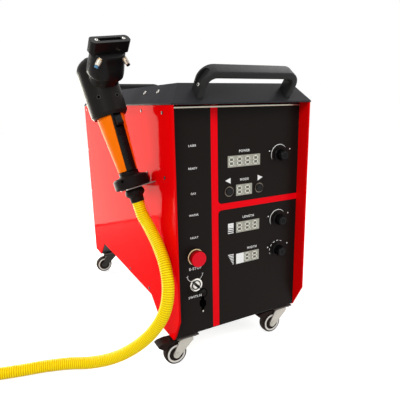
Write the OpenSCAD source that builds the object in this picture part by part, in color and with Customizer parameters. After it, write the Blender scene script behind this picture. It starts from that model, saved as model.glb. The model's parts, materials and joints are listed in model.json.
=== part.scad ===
/* [Cabinet] */
// Width over both side panels
body_w = 320; // [290:1:360]
// Depth from the front edges to the rear edges of the side panels
body_d = 676; // [630:1:760]
// Height of the top edges of the side panels above the floor
body_h = 544; // [535:1:620]
// Thickness of the folded sheet metal
sheet_t = 2; // [1.5:0.1:2.5]
// Height of the feet of the cabinet above the floor
foot_z = 66; // [62:1:72]
// Height of the raised middle of the cabinet's floor
arch_z = 119; // [105:1:135]
// Height at which the front edge turns back to the toe
toe_top_z = 121; // [110:1:140]
// Depth of the slanted toe
toe_y = 31; // [31:0.5:36]
// Rear end of the front foot
front_heel_y = 85; // [80:1:92]
// Front end of the raised middle
arch_front_y = 151; // [140:1:170]
// Length of the slope at the rear end of the raised middle
arch_rear_run = 55; // [40:1:70]
// Length of the rear foot
rear_foot_l = 64; // [60:1:75]
// Width of the flanges folded inward at the front and rear edges
flange_w = 8; // [6:0.5:12]
// Distance of the front panel behind the front edges
recess = 29; // [27:0.5:30]
// Distance of the rear panel before the rear edges
rear_recess = 12; // [8:0.5:20]

/* [Roof] */
// Rise of the roof above the side panels
roof_rise = 39; // [30:1:50]
// Width of the sloping faces at the sides
roof_side_run = 27; // [20:1:40]
// Width of the sloping faces at the front and rear
roof_end_run = 30; // [24:1:40]
// Overhang of the roof past the panels
roof_lip = 1; // [0.5:0.5:3]

/* [Handles] */
// Distance between the middles of a handle's legs
handle_span = 204; // [170:1:230]
// Distance from the slope to the middle of the grip bar
handle_reach = 50; // [42:1:62]
// Thickness of the grip bar
handle_t = 16; // [13:0.5:20]
// Depth of the grip bar
handle_depth = 20; // [16:0.5:26]
// Radius of the bends, at their middle line
handle_bend = 24; // [18:1:30]
// Angle at which the handles lean outward
handle_lean = 35; // [25:1:45]

/* [Front panel] */
// Width of one digit of the displays
digit_w = 20; // [18:0.1:21]
// Height of the displays
digit_h = 23.5; // [20:0.1:26]
// Right edge of the three wider displays, from the middle
display_right_x = 53; // [45:1:60]
// Left edge of the narrower displays
display_left_x = -7; // [-10:0.5:-5]
// Height of the middle of the four-digit display
power_z = 429; // [424:1:434]
// Height of the middle of the two-digit display
mode_z = 368; // [365:1:372]
// Height of the middle of the upper three-digit display
length_z = 287; // [283:1:292]
// Height of the middle of the lower three-digit display
width_z = 216; // [210:1:222]
// Distance of the knobs from the middle
knob_x = 104; // [98:1:112]
// Radius of the knobs' skirts
knob_r = 14.5; // [12:0.5:16]
// Height of the knobs
knob_h = 19; // [15:0.5:21]
// Places of the two push buttons on either side of the two-digit display
button_left_x = -25; // [-30:0.5:-22]
// Place of the right push button
button_right_x = 50; // [48:0.5:55]
// Radius of the button caps
button_r = 8.5; // [7:0.5:9]
// Place of the emergency stop and the key switch from the middle
column_x = -106.5; // [-112:1:-100]
// Height of the emergency stop
stop_z = 241.5; // [232:1:250]
// Radius of the emergency stop's head
stop_r = 16.6; // [14:0.5:20]
// Height of the key switch
key_z = 180; // [168:1:184]
// Radius of the key switch's ring
key_ring_r = 15; // [13:0.5:17]
// Left edge of the painted stripe
stripe_x = -66; // [-70:0.5:-62]
// Width of the painted stripe
stripe_w = 16; // [12:0.5:20]
// Lower edge of the painted bar
bar_z = 330; // [326:1:334]
// Height of the painted bar
bar_h = 14; // [12:0.5:18]

/* [Castors] */
// Radius of the wheels
wheel_r = 25; // [22:0.5:26]
// Width of the wheels
wheel_w = 20; // [16:0.5:24]
// Distance of the swivels from the middle plane
castor_x = 127; // [110:1:130]
// Distance of the swivels from the front and rear edges
castor_y = 50; // [48:1:56]
// Distance of the wheel's axle behind the swivel
castor_trail = 23; // [18:0.5:26]

/* [Gun] */
// Radius of the disc that rests on the holder
disc_r = 36; // [32:0.5:36]
// Thickness of the disc
disc_h = 23; // [14:0.5:24]
// Radius of the gun's body
gun_r = 37; // [33:0.5:40]
// Height of the body's lower rim above the holder
gun_rim_l = 148.5; // [146:1:165]
// Height of the domed end's middle above the holder
gun_dome_l = 243; // [240:1:260]
// Height at which the barrel leaves the body
gun_cross_l = 208; // [200:1:220]
// Radius of the barrel
barrel_r = 34; // [30:0.5:36]
// Distance from the body's middle line to the end of the barrel
barrel_l = 86; // [76:1:100]
// Angle of the barrel above square to the grip
barrel_rise = 33.5; // [15:1:40]
// Width of the flat nozzle
nozzle_w = 81; // [70:1:90]
// Thickness of the flat nozzle
nozzle_t = 20.5; // [22:0.5:32]
// Length of the flat nozzle
nozzle_l = 24; // [20:1:34]
// Width of the grip at its upper end
grip_top_w = 54; // [42:0.5:52]
// Width of the grip at its lower end
grip_low_w = 39; // [32:0.5:40]
// Sideways place of the gun's middle line, where it meets the holder
gun_x = -199; // [-210:1:-199]
// Lengthwise place of the gun's middle line, where it meets the holder
gun_y = 118; // [110:1:130]
// Distance of the holder's upper face below the top edges of the side panels
holder_below = 163; // [150:1:176]
// Angle at which the gun leans back
lean_back = 14.3; // [8:0.1:18]
// Angle at which the gun leans away from the cabinet
lean_out = 10.8; // [9:0.1:14]
// Angle by which the gun is turned towards the front panel
heading = 12.5; // [0:0.5:16]

/* [Hose] */
// Outer diameter of the hose
hose_d = 25; // [22:0.5:26]
// Diameter of the hose's bore
hose_bore_d = 19; // [16:0.5:20]
// Number of ribs along the free stretch
rib_count = 160; // [80:1:200]

/* [Hidden] */
$fn = 48;
// One overrun serves all cuts
cut = 1;
// Running clearance of pins and shafts in their bores
run = 0.05;
// Small gap between parts that are fixed to each other
seat = 0.2;
// Gap between parts that move past each other
gap = 0.5;
// The origin lies on the floor under the middle of the object without its hose
gun_reach = 281;
origin_x = (gun_reach - body_w / 2) / 2;
origin_y = -body_d / 2;
arch_rear_y = body_d - rear_foot_l - arch_rear_run;
rear_heel_y = body_d - rear_foot_l;
inner_w = body_w - 2 * sheet_t;
gun_z = body_h - holder_below;
panel_front = recess;
film_t = 0.6;
film_front = recess - film_t;
panel_bottom = foot_z + sheet_t * 2;
panel_top = body_h - sheet_t;
RED = [0.86, 0.02, 0.04];
BLACK = [0.13, 0.12, 0.11];
STEEL = [0.75, 0.75, 0.73];

// Moves a shape from the cabinet's own places to the part's frame
module placed() {
    translate([origin_x, origin_y, 0]) children();
}

// Extrudes an outline drawn in depth and height along the width
module along_x(x, w) {
    translate([x, 0, 0]) rotate([90, 0, 90]) linear_extrude(w) children();
}

// Extrudes an outline drawn in width and height along the depth
module along_y(y, d) {
    translate([0, y + d, 0]) rotate([90, 0, 0]) linear_extrude(d) children();
}

// A cylinder that points to the front, with its rear end at y
module peg(x, y, z, r, l) {
    translate([x, y, z]) rotate([90, 0, 0]) cylinder(r = r, h = l);
}

// The side's outline
module side_outline() {
    polygon([[0, body_h], [0, toe_top_z], [toe_y, foot_z], [front_heel_y, foot_z],
        [arch_front_y, arch_z], [arch_rear_y, arch_z], [rear_heel_y, foot_z],
        [body_d, foot_z], [body_d, body_h]]);
}

// The flange along the front edge and the toe, and the one along the rear edge
module flange_outline() {
    polygon([[0, body_h], [0, toe_top_z], [toe_y, foot_z], [toe_y + sheet_t, foot_z],
        [sheet_t, toe_top_z + sheet_t / 2], [sheet_t, body_h]]);
    translate([body_d - sheet_t, foot_z]) square([sheet_t, body_h - foot_z]);
}

screw_side_in = 14;
screw_edge_in = 11;
screw_r = 2.4;
screw_head_r = 3.4;
screw_head_h = 1.2;
side_screws_yz = [
    [recess + screw_side_in, body_h - screw_side_in], [body_d / 4 - screw_side_in, body_h - screw_edge_in],
    [recess + screw_side_in, body_h - body_h / 4], [body_d - screw_edge_in, body_h / 2],
    [arch_front_y + screw_edge_in, arch_z + screw_edge_in],
    [body_d / 2 - screw_side_in * 3, arch_z + screw_edge_in],
    [body_d - screw_edge_in, body_h - body_h / 4], [body_d - screw_side_in * 2, body_h - screw_edge_in]];

// The return at the front runs from the flange to the front panel
module return_outline() {
    drop = recess * (toe_top_z - foot_z) / toe_y;
    polygon([[0, body_h], [0, toe_top_z], [recess, toe_top_z - drop], [recess, body_h]]);
}

module side_panel(side) {
    inner = side < 0 ? -body_w / 2 : body_w / 2 - sheet_t;
    flange = side < 0 ? -body_w / 2 : body_w / 2 - flange_w;
    difference() {
        union() {
            along_x(inner, sheet_t) side_outline();
            along_x(flange, flange_w) flange_outline();
            along_x(side < 0 ? flange + flange_w - sheet_t : flange, sheet_t) return_outline();
        }
        for (p = side_screws_yz)
            translate([inner - cut, p[0], p[1]]) rotate([0, 90, 0])
                cylinder(r = screw_r, h = sheet_t + 2 * cut);
        if (side < 0) holder_screw_bores();
    }
}

module side_panel_left() { color(RED) placed() side_panel(-1); }
module side_panel_right() { color(RED) placed() side_panel(1); }

// The folded floor: two feet that carry the castors and a raised middle
pan_lip_h = 24;
pan_w = inner_w - 2 * seat;
module base_pan() {
    t = sheet_t;
    front = toe_y + t;
    rear = body_d - rear_recess - t;
    color(BLACK) placed() difference() {
        along_x(-pan_w / 2, pan_w)
            polygon([[front, foot_z], [front_heel_y, foot_z], [arch_front_y, arch_z],
                [arch_rear_y, arch_z], [rear_heel_y, foot_z], [rear, foot_z],
                [rear, foot_z + pan_lip_h], [rear - t, foot_z + pan_lip_h], [rear - t, foot_z + t],
                [rear_heel_y + t / 2, foot_z + t], [arch_rear_y + t / 2, arch_z + t],
                [arch_front_y - t / 2, arch_z + t], [front_heel_y - t / 2, foot_z + t],
                [front + t, foot_z + t], [front + t, foot_z + pan_lip_h], [front, foot_z + pan_lip_h]]);
        for (c = castor_places) plate_bores(c);
    }
}

// Cut-outs that the front panel and its films share
display_gap = 0.3;
module front_cuts(y, d) {
    along_y(y, d) {
        for (s = displays)
            translate([s[0] - display_gap, s[2] - digit_h / 2 - display_gap])
                square([s[1] * digit_w + 2 * display_gap, digit_h + 2 * display_gap]);
    }
    for (x = [button_left_x, button_right_x]) peg(x, y + d, mode_z, bezel_neck_r + gap, d);
    for (z = knob_heights) peg(knob_x, y + d, z, bush_r + gap, d);
    peg(column_x, y + d, stop_z, stop_neck_r + gap, d);
    peg(column_x, y + d, key_z, key_neck_r + gap, d);
}

// Each display has its left edge, its number of digits and its height
displays = [[display_right_x - 4 * digit_w, 4, power_z], [display_left_x, 2, mode_z],
    [display_right_x - 3 * digit_w, 3, length_z], [display_right_x - 3 * digit_w, 3, width_z]];
knob_above = 6;
knob_heights = [power_z + knob_above, length_z + knob_above / 2, width_z + knob_above / 4];

corner_w = flange_w + seat;
corner_h = flange_w + sheet_t;
module front_panel() {
    color(RED) placed() difference() {
        translate([-inner_w / 2 + seat, panel_front, panel_bottom])
            cube([inner_w - 2 * seat, sheet_t, panel_top - panel_bottom]);
        front_cuts(panel_front - cut, sheet_t + 2 * cut);
        for (s = [-1, 1])
            translate([s * body_w / 2 - corner_w, panel_front - cut, foot_z])
                cube([2 * corner_w, sheet_t + 2 * cut, corner_h]);
    }
}

// A rectangle whose chosen left corners are rounded
film_corner_r = 8;
module left_rounded(x, z, w, h, low, high) {
    r = film_corner_r;
    hull() {
        translate([x + w - r, z]) square([r, h]);
        if (low) translate([x + r, z + r]) circle(r, $fn = 32);
        else translate([x, z]) square(r);
        if (high) translate([x + r, z + h - r]) circle(r, $fn = 32);
        else translate([x, z + h - r]) square(r);
    }
}

clear_w = body_w - 2 * flange_w - 2 * seat;
module front_films() {
    left = -clear_w / 2;
    right = clear_w / 2;
    field = stripe_x + stripe_w;
    color(BLACK) placed() difference() {
        along_y(film_front, film_t) {
            translate([left, panel_bottom]) square([stripe_x - left, panel_top - panel_bottom]);
            left_rounded(field, bar_z + bar_h, right - field, panel_top - bar_z - bar_h, true, false);
            left_rounded(field, panel_bottom, right - field, bar_z - panel_bottom, false, true);
        }
        front_cuts(film_front - cut, film_t + 2 * cut);
    }
}

strip_h = 4;
strip_t = 1.5;
strip_drop = 3;
module trim_strip() {
    color(STEEL) placed()
        translate([-clear_w / 2, film_front - strip_t, panel_top - strip_drop - strip_h])
            cube([clear_w, strip_t, strip_h]);
}

// A block whose top is smaller than its base, grown or shrunk by e
roof_band = 3;
module roof_block(e) {
    w = body_w + 2 * roof_lip - 2 * e;
    d = body_d + 2 * roof_lip - 2 * e;
    hull() {
        translate([-w / 2, -roof_lip + e, body_h]) cube([w, d, roof_band - e]);
        translate([-w / 2 + roof_side_run + roof_lip, roof_end_run + e, body_h])
            cube([w - 2 * roof_side_run - 2 * roof_lip, d - 2 * roof_end_run - 2 * roof_lip, roof_rise - e]);
    }
}

module roof_cover() {
    color([0.2, 0.2, 0.21]) placed() difference() {
        roof_block(0);
        translate([0, 0, -cut]) roof_block(sheet_t);
        for (x = [-handle_span / 2, handle_span / 2], s = [0, 1])
            handle_frame(s) translate([x, 0, -handle_reach]) cylinder(r = screw_r + gap, h = handle_reach);
    }
}

// The handle's own frame: its origin is on the slope, its z axis points along the legs
slope_share = 0.4;
foot_y = roof_end_run * slope_share;
foot_rise = roof_band + (roof_rise - roof_band) * slope_share;
slope_angle = atan((roof_rise - roof_band) / (roof_end_run + roof_lip));
module handle_frame(rear) {
    translate([0, rear * body_d, 0]) mirror([0, rear, 0])
        translate([0, foot_y, body_h + foot_rise]) rotate([handle_lean, 0, 0]) children();
}

// The bar's section, with its corners cut off
handle_corner = 3;
module handle_section() {
    a = handle_t / 2;
    b = handle_depth / 2;
    c = handle_corner;
    polygon([[-a, -b + c], [-a + c, -b], [a - c, -b], [a, -b + c],
        [a, b - c], [a - c, b], [-a + c, b], [-a, b - c]]);
}

handle_root = 40;
handle_hole_r = 5;
handle_skew = 25;
module handle(rear) {
    bend = handle_bend;
    half = handle_span / 2;
    difference() {
        handle_frame(rear) difference() {
            union() {
                for (s = [0, 1]) mirror([s, 0, 0]) {
                    translate([half, 0, -handle_root])
                        linear_extrude(handle_root + handle_reach - bend) handle_section();
                    translate([half - bend, 0, handle_reach - bend]) rotate([90, 0, 0])
                        rotate_extrude(angle = 90) translate([bend, 0]) handle_section();
                }
                translate([-half + bend, 0, handle_reach]) rotate([0, 90, 0])
                    linear_extrude(2 * (half - bend)) handle_section();
            }
            for (s = [-1, 1])
                translate([s * half, 0, handle_reach - bend]) rotate([0, s * handle_skew, 0])
                    cylinder(r = handle_hole_r, h = bend * 2, $fn = 32);
        }
        // Below the roof's slope
        translate([0, rear * body_d, 0]) mirror([0, rear, 0])
            translate([-body_w / 2, -roof_lip, body_h + roof_band]) rotate([slope_angle, 0, 0])
                translate([0, -body_d / 4, -body_h]) cube([body_w, body_d / 2, body_h]);
    }
}

module front_handle() { color(BLACK) placed() handle(0); }
module rear_handle() { color(BLACK) placed() handle(1); }

// Screws of the side panels and of the roof
roof_screw_y = [body_d / 7, body_d / 4];
roof_screw_share = 0.62;
roof_side_angle = atan((roof_rise - roof_band) / (roof_side_run + roof_lip));
module panel_screws() {
    color(STEEL) placed() {
        for (s = [0, 1], p = side_screws_yz) mirror([s, 0, 0])
            translate([-body_w / 2, p[0], p[1]]) rotate([0, 90, 0]) {
                translate([0, 0, -screw_head_h]) cylinder(r = screw_head_r, h = screw_head_h, $fn = 24);
                cylinder(r = screw_r - gap, h = sheet_t, $fn = 24);
            }
        for (s = [0, 1], y = roof_screw_y) mirror([s, 0, 0])
            translate([-body_w / 2 - roof_lip, y, body_h + roof_band]) rotate([0, -roof_side_angle, 0])
                translate([(roof_side_run + roof_lip) * roof_screw_share / cos(roof_side_angle), 0, 0])
                    cylinder(r = screw_head_r + gap, h = screw_head_h * 2, $fn = 24);
    }
}

// A display: a block with one recess for each digit's strokes
display_depth = 8;
stroke_share = 0.11;
stroke_depth = 0.4;
stroke_gap = 0.12;
digit_in = 2.6;
module digit_strokes() {
    w = digit_w - 3 * digit_in;
    h = digit_h - 2 * digit_in;
    s = digit_w * stroke_share;
    g = s * stroke_gap;
    for (z = [0, (h - s) / 2, h - s]) translate([s + g, z]) square([w - 2 * s - 2 * g, s]);
    for (x = [0, w - s], z = [s, (h + s) / 2]) translate([x, z + g]) square([s, (h - 3 * s) / 2 - 2 * g]);
}

module display(place) {
    digits = place[1];
    color([0.62, 0.62, 0.57]) placed() difference() {
        translate([place[0], film_front, place[2] - digit_h / 2])
            cube([digits * digit_w, display_depth, digit_h]);
        along_y(film_front - cut, cut + stroke_depth)
            for (i = [0:digits - 1])
                translate([place[0] + i * digit_w + digit_in, place[2] - digit_h / 2 + digit_in])
                    digit_strokes();
    }
}

module power_display() { display(displays[0]); }
module mode_display() { display(displays[1]); }
module length_display() { display(displays[2]); }
module width_display() { display(displays[3]); }

// Push buttons: a threaded bezel through the panel and a cap that slides in it
bezel_r = button_r + 2.2;
bezel_neck_r = button_r + 1.4;
bezel_h = 2.5;
button_body_l = 16;
button_rise = 3.5;
module button_bezels() {
    color(STEEL) placed() for (x = [button_left_x, button_right_x]) difference() {
        union() {
            peg(x, film_front, mode_z, bezel_r, bezel_h);
            peg(x, film_front + button_body_l, mode_z, bezel_neck_r, button_body_l + bezel_h / 2);
        }
        peg(x, film_front + button_body_l - sheet_t, mode_z, button_r + run, button_body_l + bezel_h + cut);
    }
}

button_dome = 1;
button_travel = 2.5;
module button(x) {
    l = button_body_l - sheet_t - button_travel - gap;
    color(BLACK) placed()
        translate([x, film_front - bezel_h + l, mode_z]) rotate([90, 0, 0]) {
            cylinder(r = button_r, h = l + button_rise - button_dome);
            translate([0, 0, l + button_rise - button_dome])
                cylinder(r1 = button_r, r2 = button_r - button_dome, h = button_dome);
        }
}

module button_left() { button(button_left_x); }
module button_right() { button(button_right_x); }

// Knobs on shafts that turn in the bushes of the potentiometers
shaft_r = 3;
bush_r = 4.5;
bush_l = 8;
pot_r = 9;
pot_l = 12;
flute_count = 18;
flute_r = 1.1;
skirt_h = 4;
module knob(z) {
    top_r = knob_r * 0.72;
    color(BLACK) placed() translate([knob_x, film_front - gap, z]) rotate([90, 0, 0]) {
        difference() {
            union() {
                cylinder(r = knob_r, h = skirt_h / 2);
                translate([0, 0, skirt_h / 2])
                cylinder(r1 = knob_r, r2 = top_r + flute_r * 1.4, h = skirt_h / 2);
                cylinder(r = top_r, h = knob_h - button_dome);
                translate([0, 0, knob_h - button_dome])
                    cylinder(r1 = top_r, r2 = top_r - button_dome, h = button_dome);
                for (i = [0:flute_count - 1]) rotate([0, 0, i * 360 / flute_count])
                    translate([top_r, 0, 0]) cylinder(r = flute_r, h = knob_h - button_dome * 2, $fn = 14);
            }
            translate([-flute_r / 2, 0, knob_h - flute_r]) cube([flute_r, top_r, flute_r + cut]);
            translate([0, 0, -cut]) cylinder(r = bush_r + gap, h = bush_l / 2 + cut);
        }
        translate([0, 0, -pot_l]) cylinder(r = shaft_r, h = pot_l + bush_l / 2 + cut);
    }
}

module knob_power() { knob(knob_heights[0]); }
module knob_length() { knob(knob_heights[1]); }
module knob_width() { knob(knob_heights[2]); }

module potentiometers() {
    back = panel_front + sheet_t;
    color(STEEL) placed() for (z = knob_heights) difference() {
        union() {
            peg(knob_x, back + pot_l, z, pot_r, pot_l);
            peg(knob_x, back + cut, z, bush_r, cut + sheet_t + film_t + bush_l / 3);
        }
        peg(knob_x, back + pot_l - cut, z, shaft_r + run, pot_l + bush_l);
    }
}

// Emergency stop: a base with a ring, a stem that slides in it and a head that twists on the stem
stop_neck_r = 11;
stop_ring_h = 2;
stop_collar_h = 3.5;
stop_body_l = 26;
stop_stem_r = 6;
stop_travel = 4;
stop_head_h = 11;
module stop_base() {
    color([0.85, 0.6, 0.1]) placed() difference() {
        union() {
            peg(column_x, film_front, stop_z, stop_r - cut / 2, stop_ring_h);
            peg(column_x, film_front + stop_body_l, stop_z, stop_neck_r, stop_body_l + stop_collar_h);
        }
        peg(column_x, film_front + stop_body_l - sheet_t, stop_z, stop_stem_r + run, stop_body_l * 2);
    }
}

stop_face = film_front - stop_collar_h - stop_travel - gap;
stop_flange_r = 9;
module stop_stem() {
    pin_r = stop_stem_r / 2;
    color(BLACK) placed() {
        peg(column_x, stop_face + stop_travel + stop_collar_h + stop_body_l / 2, stop_z,
            stop_stem_r, stop_travel + stop_collar_h + stop_body_l / 2);
        peg(column_x, stop_face + cut, stop_z, pin_r, cut + stop_head_h * 0.6);
    }
}

module stop_head() {
    r = stop_r;
    h = stop_head_h;
    pin_r = stop_stem_r / 2;
    color([0.8, 0.04, 0.04]) placed() difference() {
        translate([column_x, stop_face, stop_z]) rotate([90, 0, 0]) rotate_extrude($fn = 64)
            polygon([[0, display_gap], [r * 0.8, display_gap], [r * 0.97, h * 0.12], [r, h * 0.25],
                [r, h * 0.84], [r * 0.97, h * 0.95], [r * 0.91, h], [0, h]]);
        peg(column_x, stop_face + cut, stop_z, pin_r + run, cut + h * 0.6 + gap);
    }
}

// Key switch with its main key, and a spare key that hangs on a ring
key_neck_r = 10;
key_rotor_r = 7;
key_face_h = 3;
key_body_l = 30;
module key_switch() {
    color(STEEL) placed() difference() {
        union() {
            translate([column_x, film_front, key_z]) rotate([90, 0, 0])
                cylinder(r1 = key_ring_r, r2 = key_ring_r - cut, h = key_face_h);
            peg(column_x, film_front + key_body_l, key_z, key_neck_r, key_body_l);
        }
        peg(column_x, film_front + key_body_l - sheet_t, key_z, key_rotor_r + run, key_body_l * 2);
    }
}

bow_w = 15;
bow_l = 18;
bow_t = 3;
bow_cut = 4;
key_stand = 7;
shank_r = 3;
post_r = 2;
post_l = 4;
post_cap_r = 3.2;
key_turned = 45;
module bow(w, l, t) {
    difference() {
        translate([-t / 2, 0, -w / 2]) cube([t, l, w]);
        for (a = [0, l], b = [-w / 2, w / 2]) translate([-t, a, b]) rotate([45, 0, 0])
            translate([0, -bow_cut / 2, -bow_cut / 2]) cube([t * 2, bow_cut, bow_cut]);
    }
}

module main_key() {
    face = film_front - key_face_h;
    color(BLACK) placed() {
        peg(column_x, film_front + key_body_l / 2, key_z, key_rotor_r, key_body_l / 2 + key_face_h - gap);
        peg(column_x, face + cut, key_z, shank_r, key_stand + cut * 2);
        translate([column_x, face - key_stand - bow_l, key_z]) rotate([0, -key_turned, 0])
            bow(bow_w, bow_l, bow_t);
        peg(column_x, face - key_stand - bow_l + cut, key_z, post_r, post_l + cut * 2);
        peg(column_x, face - key_stand - bow_l - post_l, key_z, post_cap_r, sheet_t);
    }
}

split_ring_r = 10;
wire_r = 0.8;
spare_w = 13;
spare_l = 17;
spare_t = 4;
spare_eye_w = 5;
spare_eye_l = 6;
spare_blade_w = 5;
spare_blade_l = 10;
module spare_key() {
    y = film_front - key_face_h - key_stand - bow_l - post_l / 2;
    z = key_z + post_r + seat / 2 - split_ring_r + wire_r;
    low = z - split_ring_r;
    top = low - spare_eye_l + wire_r + sheet_t;
    color([0.3, 0.3, 0.3]) placed() {
        translate([column_x, y, z]) rotate([90, 0, 0])
            rotate_extrude() translate([split_ring_r, 0]) circle(wire_r, $fn = 14);
        difference() {
            union() {
                translate([column_x - spare_eye_w / 2, y - spare_t / 2, top - cut])
                    cube([spare_eye_w, spare_t, spare_eye_l + cut]);
                translate([column_x, y + spare_t / 2, top]) rotate([90, 0, 0]) linear_extrude(spare_t)
                    polygon([[spare_eye_w / 2, 0], [spare_w / 2, -bow_cut], [spare_w / 2, bow_cut - spare_l],
                        [spare_eye_w / 2, -spare_l], [-spare_eye_w / 2, -spare_l],
                        [-spare_w / 2, bow_cut - spare_l], [-spare_w / 2, -bow_cut], [-spare_eye_w / 2, 0]]);
                translate([column_x - spare_blade_w / 2, y - spare_t / 4, top - spare_l - spare_blade_l])
                    cube([spare_blade_w, spare_t / 2, spare_blade_l + cut]);
            }
            translate([column_x - spare_w, y, low]) rotate([0, 90, 0])
                cylinder(r = wire_r + seat * 2, h = spare_w * 2, $fn = 32);
        }
    }
}

// Castors: a plate under the foot, a fork that swivels, a wheel on the fork's axle, and a brake pedal
castor_places = [[-castor_x, castor_y], [castor_x, castor_y],
    [-castor_x, body_d - castor_y], [castor_x, body_d - castor_y]];
plate_w = 50;
plate_d = 46;
plate_t = 2.5;
plate_hole_in = 7;
plate_hole_r = 3.2;
king_r = 5;
head_r = 17;
head_h = 6;
fork_t = 2;
fork_gap = 1;
axle_r = 4;
module plate_bores(c) {
    for (sx = [-1, 1], sy = [-1, 1])
        translate([c[0] + sx * (plate_w / 2 - plate_hole_in), c[1] + sy * (plate_d / 2 - plate_hole_in),
            foot_z - plate_t - cut])
            cylinder(r = plate_hole_r, h = plate_t + sheet_t + 2 * cut, $fn = 24);
}

module castor_plates() {
    color(STEEL) placed() {
        for (c = castor_places) {
            difference() {
                translate([c[0] - plate_w / 2, c[1] - plate_d / 2, foot_z - plate_t])
                    cube([plate_w, plate_d, plate_t]);
                plate_bores(c);
                translate([c[0], c[1], foot_z - plate_t - cut])
                    cylinder(r = king_r + run, h = plate_t + 2 * cut);
            }
            for (sx = [-1, 1], sy = [-1, 1])
                translate([c[0] + sx * (plate_w / 2 - plate_hole_in),
                    c[1] + sy * (plate_d / 2 - plate_hole_in), foot_z - plate_t - screw_head_h * 2]) {
                    cylinder(r = plate_hole_r * 1.6, h = screw_head_h * 2, $fn = 6);
                    cylinder(r = plate_hole_r - gap, $fn = 24,
                        h = screw_head_h * 2 + plate_t + sheet_t + gap);
                }
        }
    }
}

// A brake pedal's pin passes through lugs on the cheeks of the front forks
pin_x = -14;
pin_z = 53;
pin_r = 2;
lug_r = 4.5;

// The fork's cheek, drawn from the side: wide at the swivel head and narrow at the axle
module cheek() {
    top = foot_z - plate_t - gap - head_h;
    hull() {
        translate([-head_r * 0.5, top - head_h]) square([head_r * 1.2, head_h]);
        translate([pin_x, pin_z - cut]) circle(lug_r - cut, $fn = 32);
        translate([-castor_trail, wheel_r]) circle(axle_r * 2, $fn = 32);
    }
}

module fork(c, braked) {
    top = foot_z - plate_t - gap;
    inner = wheel_w / 2 + fork_gap;
    color(STEEL) placed() translate([c[0], c[1], 0]) difference() {
        union() {
            translate([0, 0, top - head_h]) cylinder(r = head_r, h = head_h);
            translate([0, 0, top - cut]) cylinder(r = king_r, h = cut + plate_t + seat);
            translate([-head_r * 0.5, -inner - fork_t, top - head_h - fork_t])
                cube([head_r * 1.2, 2 * inner + 2 * fork_t, fork_t + seat]);
            for (s = [-inner - fork_t, inner]) along_y(s, fork_t) cheek();
            translate([-castor_trail, -inner - fork_t * 2, wheel_r]) rotate([-90, 0, 0])
                cylinder(r = axle_r * 1.5, h = fork_t * 1.2, $fn = 6);
            translate([-castor_trail, -inner - fork_t, wheel_r]) rotate([-90, 0, 0])
                cylinder(r = axle_r, h = 2 * (inner + fork_t));
        }
        if (braked) translate([pin_x, -inner - fork_t - cut, pin_z]) rotate([-90, 0, 0])
            cylinder(r = pin_r + run, h = 2 * (inner + fork_t + cut), $fn = 32);
    }
}

module fork_front_left() { fork(castor_places[0], true); }
module fork_front_right() { fork(castor_places[1], true); }
module fork_rear_left() { fork(castor_places[2], false); }
module fork_rear_right() { fork(castor_places[3], false); }

// A wheel: a rounded tread, a shallow dish on each face and a raised hub
dish = 2.5;
module wheel(c) {
    r = wheel_r;
    w = wheel_w / 2;
    color([0.12, 0.1, 0.09]) placed() translate([c[0] - castor_trail, c[1], wheel_r]) rotate([90, 0, 0])
        rotate_extrude($fn = 64)
            polygon([[axle_r + run, -w], [r * 0.3, -w], [r * 0.34, -w + dish], [r * 0.62, -w + dish],
                [r * 0.66, -w], [r * 0.86, -w], [r * 0.96, -w * 0.8], [r, -w * 0.4], [r, w * 0.4],
                [r * 0.96, w * 0.8], [r * 0.86, w], [r * 0.66, w], [r * 0.62, w - dish],
                [r * 0.34, w - dish], [r * 0.3, w], [axle_r + run, w]]);
}

module wheel_front_left() { wheel(castor_places[0]); }
module wheel_front_right() { wheel(castor_places[1]); }
module wheel_rear_left() { wheel(castor_places[2]); }
module wheel_rear_right() { wheel(castor_places[3]); }

// A brake pedal hinges on the fork above the wheel: an arm between the cheeks and a wider tread
pedal_l = 51;
pedal_w = 26;
pedal_arm_w = 20;
module pedal(c) {
    inner = wheel_w / 2 + fork_gap;
    color([0.2, 0.13, 0.1]) placed() translate([c[0] + pin_x, c[1], pin_z]) {
        along_y(-pedal_arm_w / 2, pedal_arm_w)
            polygon(pedal_l * [[0.049, -0.039], [0.049, 0.049], [-0.049, 0.065], [-0.235, 0.118],
                [-0.588, 0.147], [-0.588, -0.098], [-0.51, -0.049], [-0.235, -0.02],
                [-0.049, -0.043]]);
        along_y(-pedal_w / 2, pedal_w)
            polygon(pedal_l * [[-0.255, 0.12], [-0.588, 0.147], [-0.902, 0.098], [-1, 0.029],
                [-0.98, -0.02], [-0.745, -0.196], [-0.667, -0.186], [-0.51, -0.049],
                [-0.255, -0.02]]);
        translate([0, -inner - fork_t + gap, 0]) rotate([-90, 0, 0])
            cylinder(r = pin_r, h = 2 * (inner + fork_t - gap), $fn = 32);
    }
}

module pedal_left() { pedal(castor_places[0]); }
module pedal_right() { pedal(castor_places[1]); }

// The holder's frame has its origin where the gun's middle line meets the holder, and leans with it
module holder_frame() {
    translate([gun_x, gun_y, gun_z]) rotate([-lean_back, -lean_out, 0]) children();
}

// The gun's frame is the holder's, turned about the gun's own middle line
module gun_frame() {
    holder_frame() rotate([0, 0, heading]) children();
}

tail_r = 20;
tail_l = 18;
neck_r = 14;
neck_l = 13;
slot_r = tail_r + cut;
tine_w = 6;
holder_t = 2;
holder_rise = 25;
holder_rear = 46;
flange_start = 11;
flange_reach = 26;
wall_t = 2.5;
module wall_slab(t) {
    translate([-body_w / 2 - t, 0, 0]) cube([t, body_d, body_h]);
}

holder_screws = [[holder_rise * 0.55, holder_rear * 0.4], [holder_rise * 0.55, holder_rear * 0.8]];
module holder_screw_bores() {
    for (p = holder_screws)
        translate([-body_w / 2 - wall_t - cut, gun_y + p[1], gun_z + p[0]]) rotate([0, 90, 0])
            cylinder(r = screw_r, h = wall_t + sheet_t + 2 * cut);
}

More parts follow.
